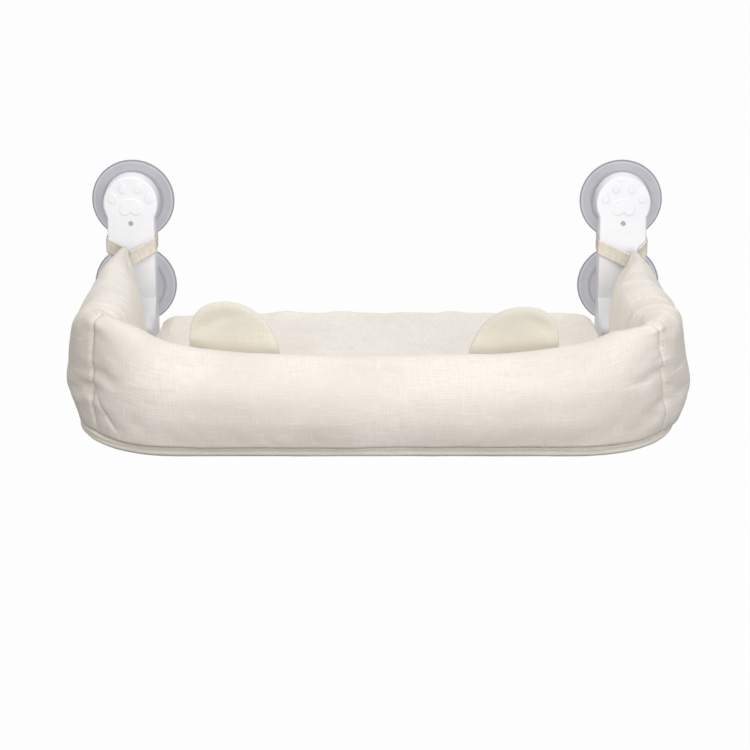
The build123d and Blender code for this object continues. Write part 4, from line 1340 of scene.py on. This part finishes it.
# %% Grow a sleeve
def sleeve(name, points, seed, crease):
    """A sleeve of thin cloth along points, closed all round by its own wall."""
    made = chains(name, [points])
    values = {"Radius": SLEEVE_RADIUS, "Step": 0.0035, "Pucker": 0.0014, "Crease": crease, "Seed": seed}
    grown(made, sleeve_tree, {**values, "Material": base_linen})
    face_outwards(made.data)
    walled(made, SLEEVE_CLOTH)
    shade_smooth(made.data)
    length = float(np.linalg.norm(np.diff(points, axis=0), axis=1).sum())
    print(name, "is", round(length, 3), "m long")
    return made, length


# %% Front and rear sleeves
rail_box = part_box("rear_casing")
_, rail_y, RAIL_LEVEL = middle_of(rail_box)
SLEEVE_CLOTH = 0.0010
SLEEVE_RADIUS = (rail_box[1][2] - rail_box[0][2]) / 2 + 0.0001
BOW_CORNER = np.array([0.281, -0.362])
BOW_HINGE = np.array([0.249, -0.084])
BOW_LEG = (BOW_CORNER - BOW_HINGE) / np.linalg.norm(BOW_CORNER - BOW_HINGE)
BOW_LEAN = math.atan2(BOW_LEG[0], -BOW_LEG[1])
BOW_BEND = 0.088
BOW_START = 0.0615


def bow_line():
    """The frame tube's middle line: two straight legs, two round corners and the front."""
    cut_back = BOW_BEND * math.tan((math.pi / 2 + BOW_LEAN) / 2)
    centre = np.array([BOW_CORNER[0] - cut_back, BOW_CORNER[1] + BOW_BEND])
    turn = np.linspace(0, -math.pi / 2 - BOW_LEAN, 24) + BOW_LEAN
    bend = centre + BOW_BEND * np.stack([np.cos(turn), np.sin(turn)], 1)
    start = BOW_HINGE + BOW_LEG * BOW_START
    straight = start + np.outer(np.linspace(0, 1, 20, endpoint=False), bend[0] - start)
    half = np.vstack([straight, bend])
    front = np.stack([np.linspace(centre[0], -centre[0], 60)[1:-1], np.full(58, BOW_CORNER[1])], 1)
    flat = np.vstack([half, front, half[::-1] * (-1, 1)])
    return np.column_stack([flat, np.full(len(flat), RAIL_LEVEL)])


front_sleeve, length = sleeve("front_sleeve", bow_line(), 2.0, 0.0016)
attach(front_sleeve, "tray")
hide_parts("bow_casing")
rail_x = np.linspace(rail_box[0][0], rail_box[1][0], 80)
rail_line = np.column_stack([rail_x, np.full(80, rail_y), np.full(80, RAIL_LEVEL)])
rear_sleeve, length = sleeve("rear_sleeve", rail_line, 5.0, 0.0)
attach(rear_sleeve, "tray")
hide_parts("rear_casing")

# %% [markdown]
# ## Sling
#
# One panel of doubled cloth is stretched over the frame under the cushion. It is cut
# to the frame's outline, wide behind the corners and narrow between the arms' feet,
# and it dips a little in the middle. It is a grid whose rows are as wide as the
# frame is there, with a wall of cloth added afterwards.

# %% Sling
SLING_SAG = 0.0022
SLING_CLOTH = 0.0011
SLING_ROWS, SLING_COLUMNS = 90, 96
NOTCH_START = 0.0613
NOTCH_OVERLAP, NOTCH_LIMIT = 0.0030, 0.2234
frame_line = bow_line()
right_leg = frame_line[frame_line[:, 0] > 0][:, :2]
order = np.argsort(right_leg[:, 1])
notch_y = BOW_HINGE[1] - NOTCH_START * math.cos(BOW_LEAN)
notch_x = min(arm_box[0][0] + NOTCH_OVERLAP, NOTCH_LIMIT)
depths = np.linspace(sling_box[0][1], sling_box[1][1], SLING_ROWS + 1)
full_width = np.interp(depths, right_leg[order, 1], right_leg[order, 0])
half_widths = np.where(depths > notch_y, notch_x, full_width)
places = []
for y, width in zip(depths, half_widths):
    for s in np.linspace(-1, 1, SLING_COLUMNS + 1):
        share = (y - depths[0]) / (depths[-1] - depths[0])
        dip = SLING_SAG * (1 - s ** 2) * math.sin(math.pi * share)
        places.append((s * width, y, sling_box[1][2] - dip))
row = SLING_COLUMNS + 1
firsts = [j * row + i for j in range(SLING_ROWS) for i in range(SLING_COLUMNS)]
faces = [(k, k + 1, k + row + 1, k + row) for k in firsts]
sling_mesh = bpy.data.meshes.new("sling_sheet")
sling_mesh.from_pydata(places, [], faces)
write_map(sling_mesh, [places[v][:2] for face in faces for v in face])
sling = piece_from("sling_sheet", sling_mesh, base_linen)
walled(sling, SLING_CLOTH)
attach(sling, "tray")
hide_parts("sling")
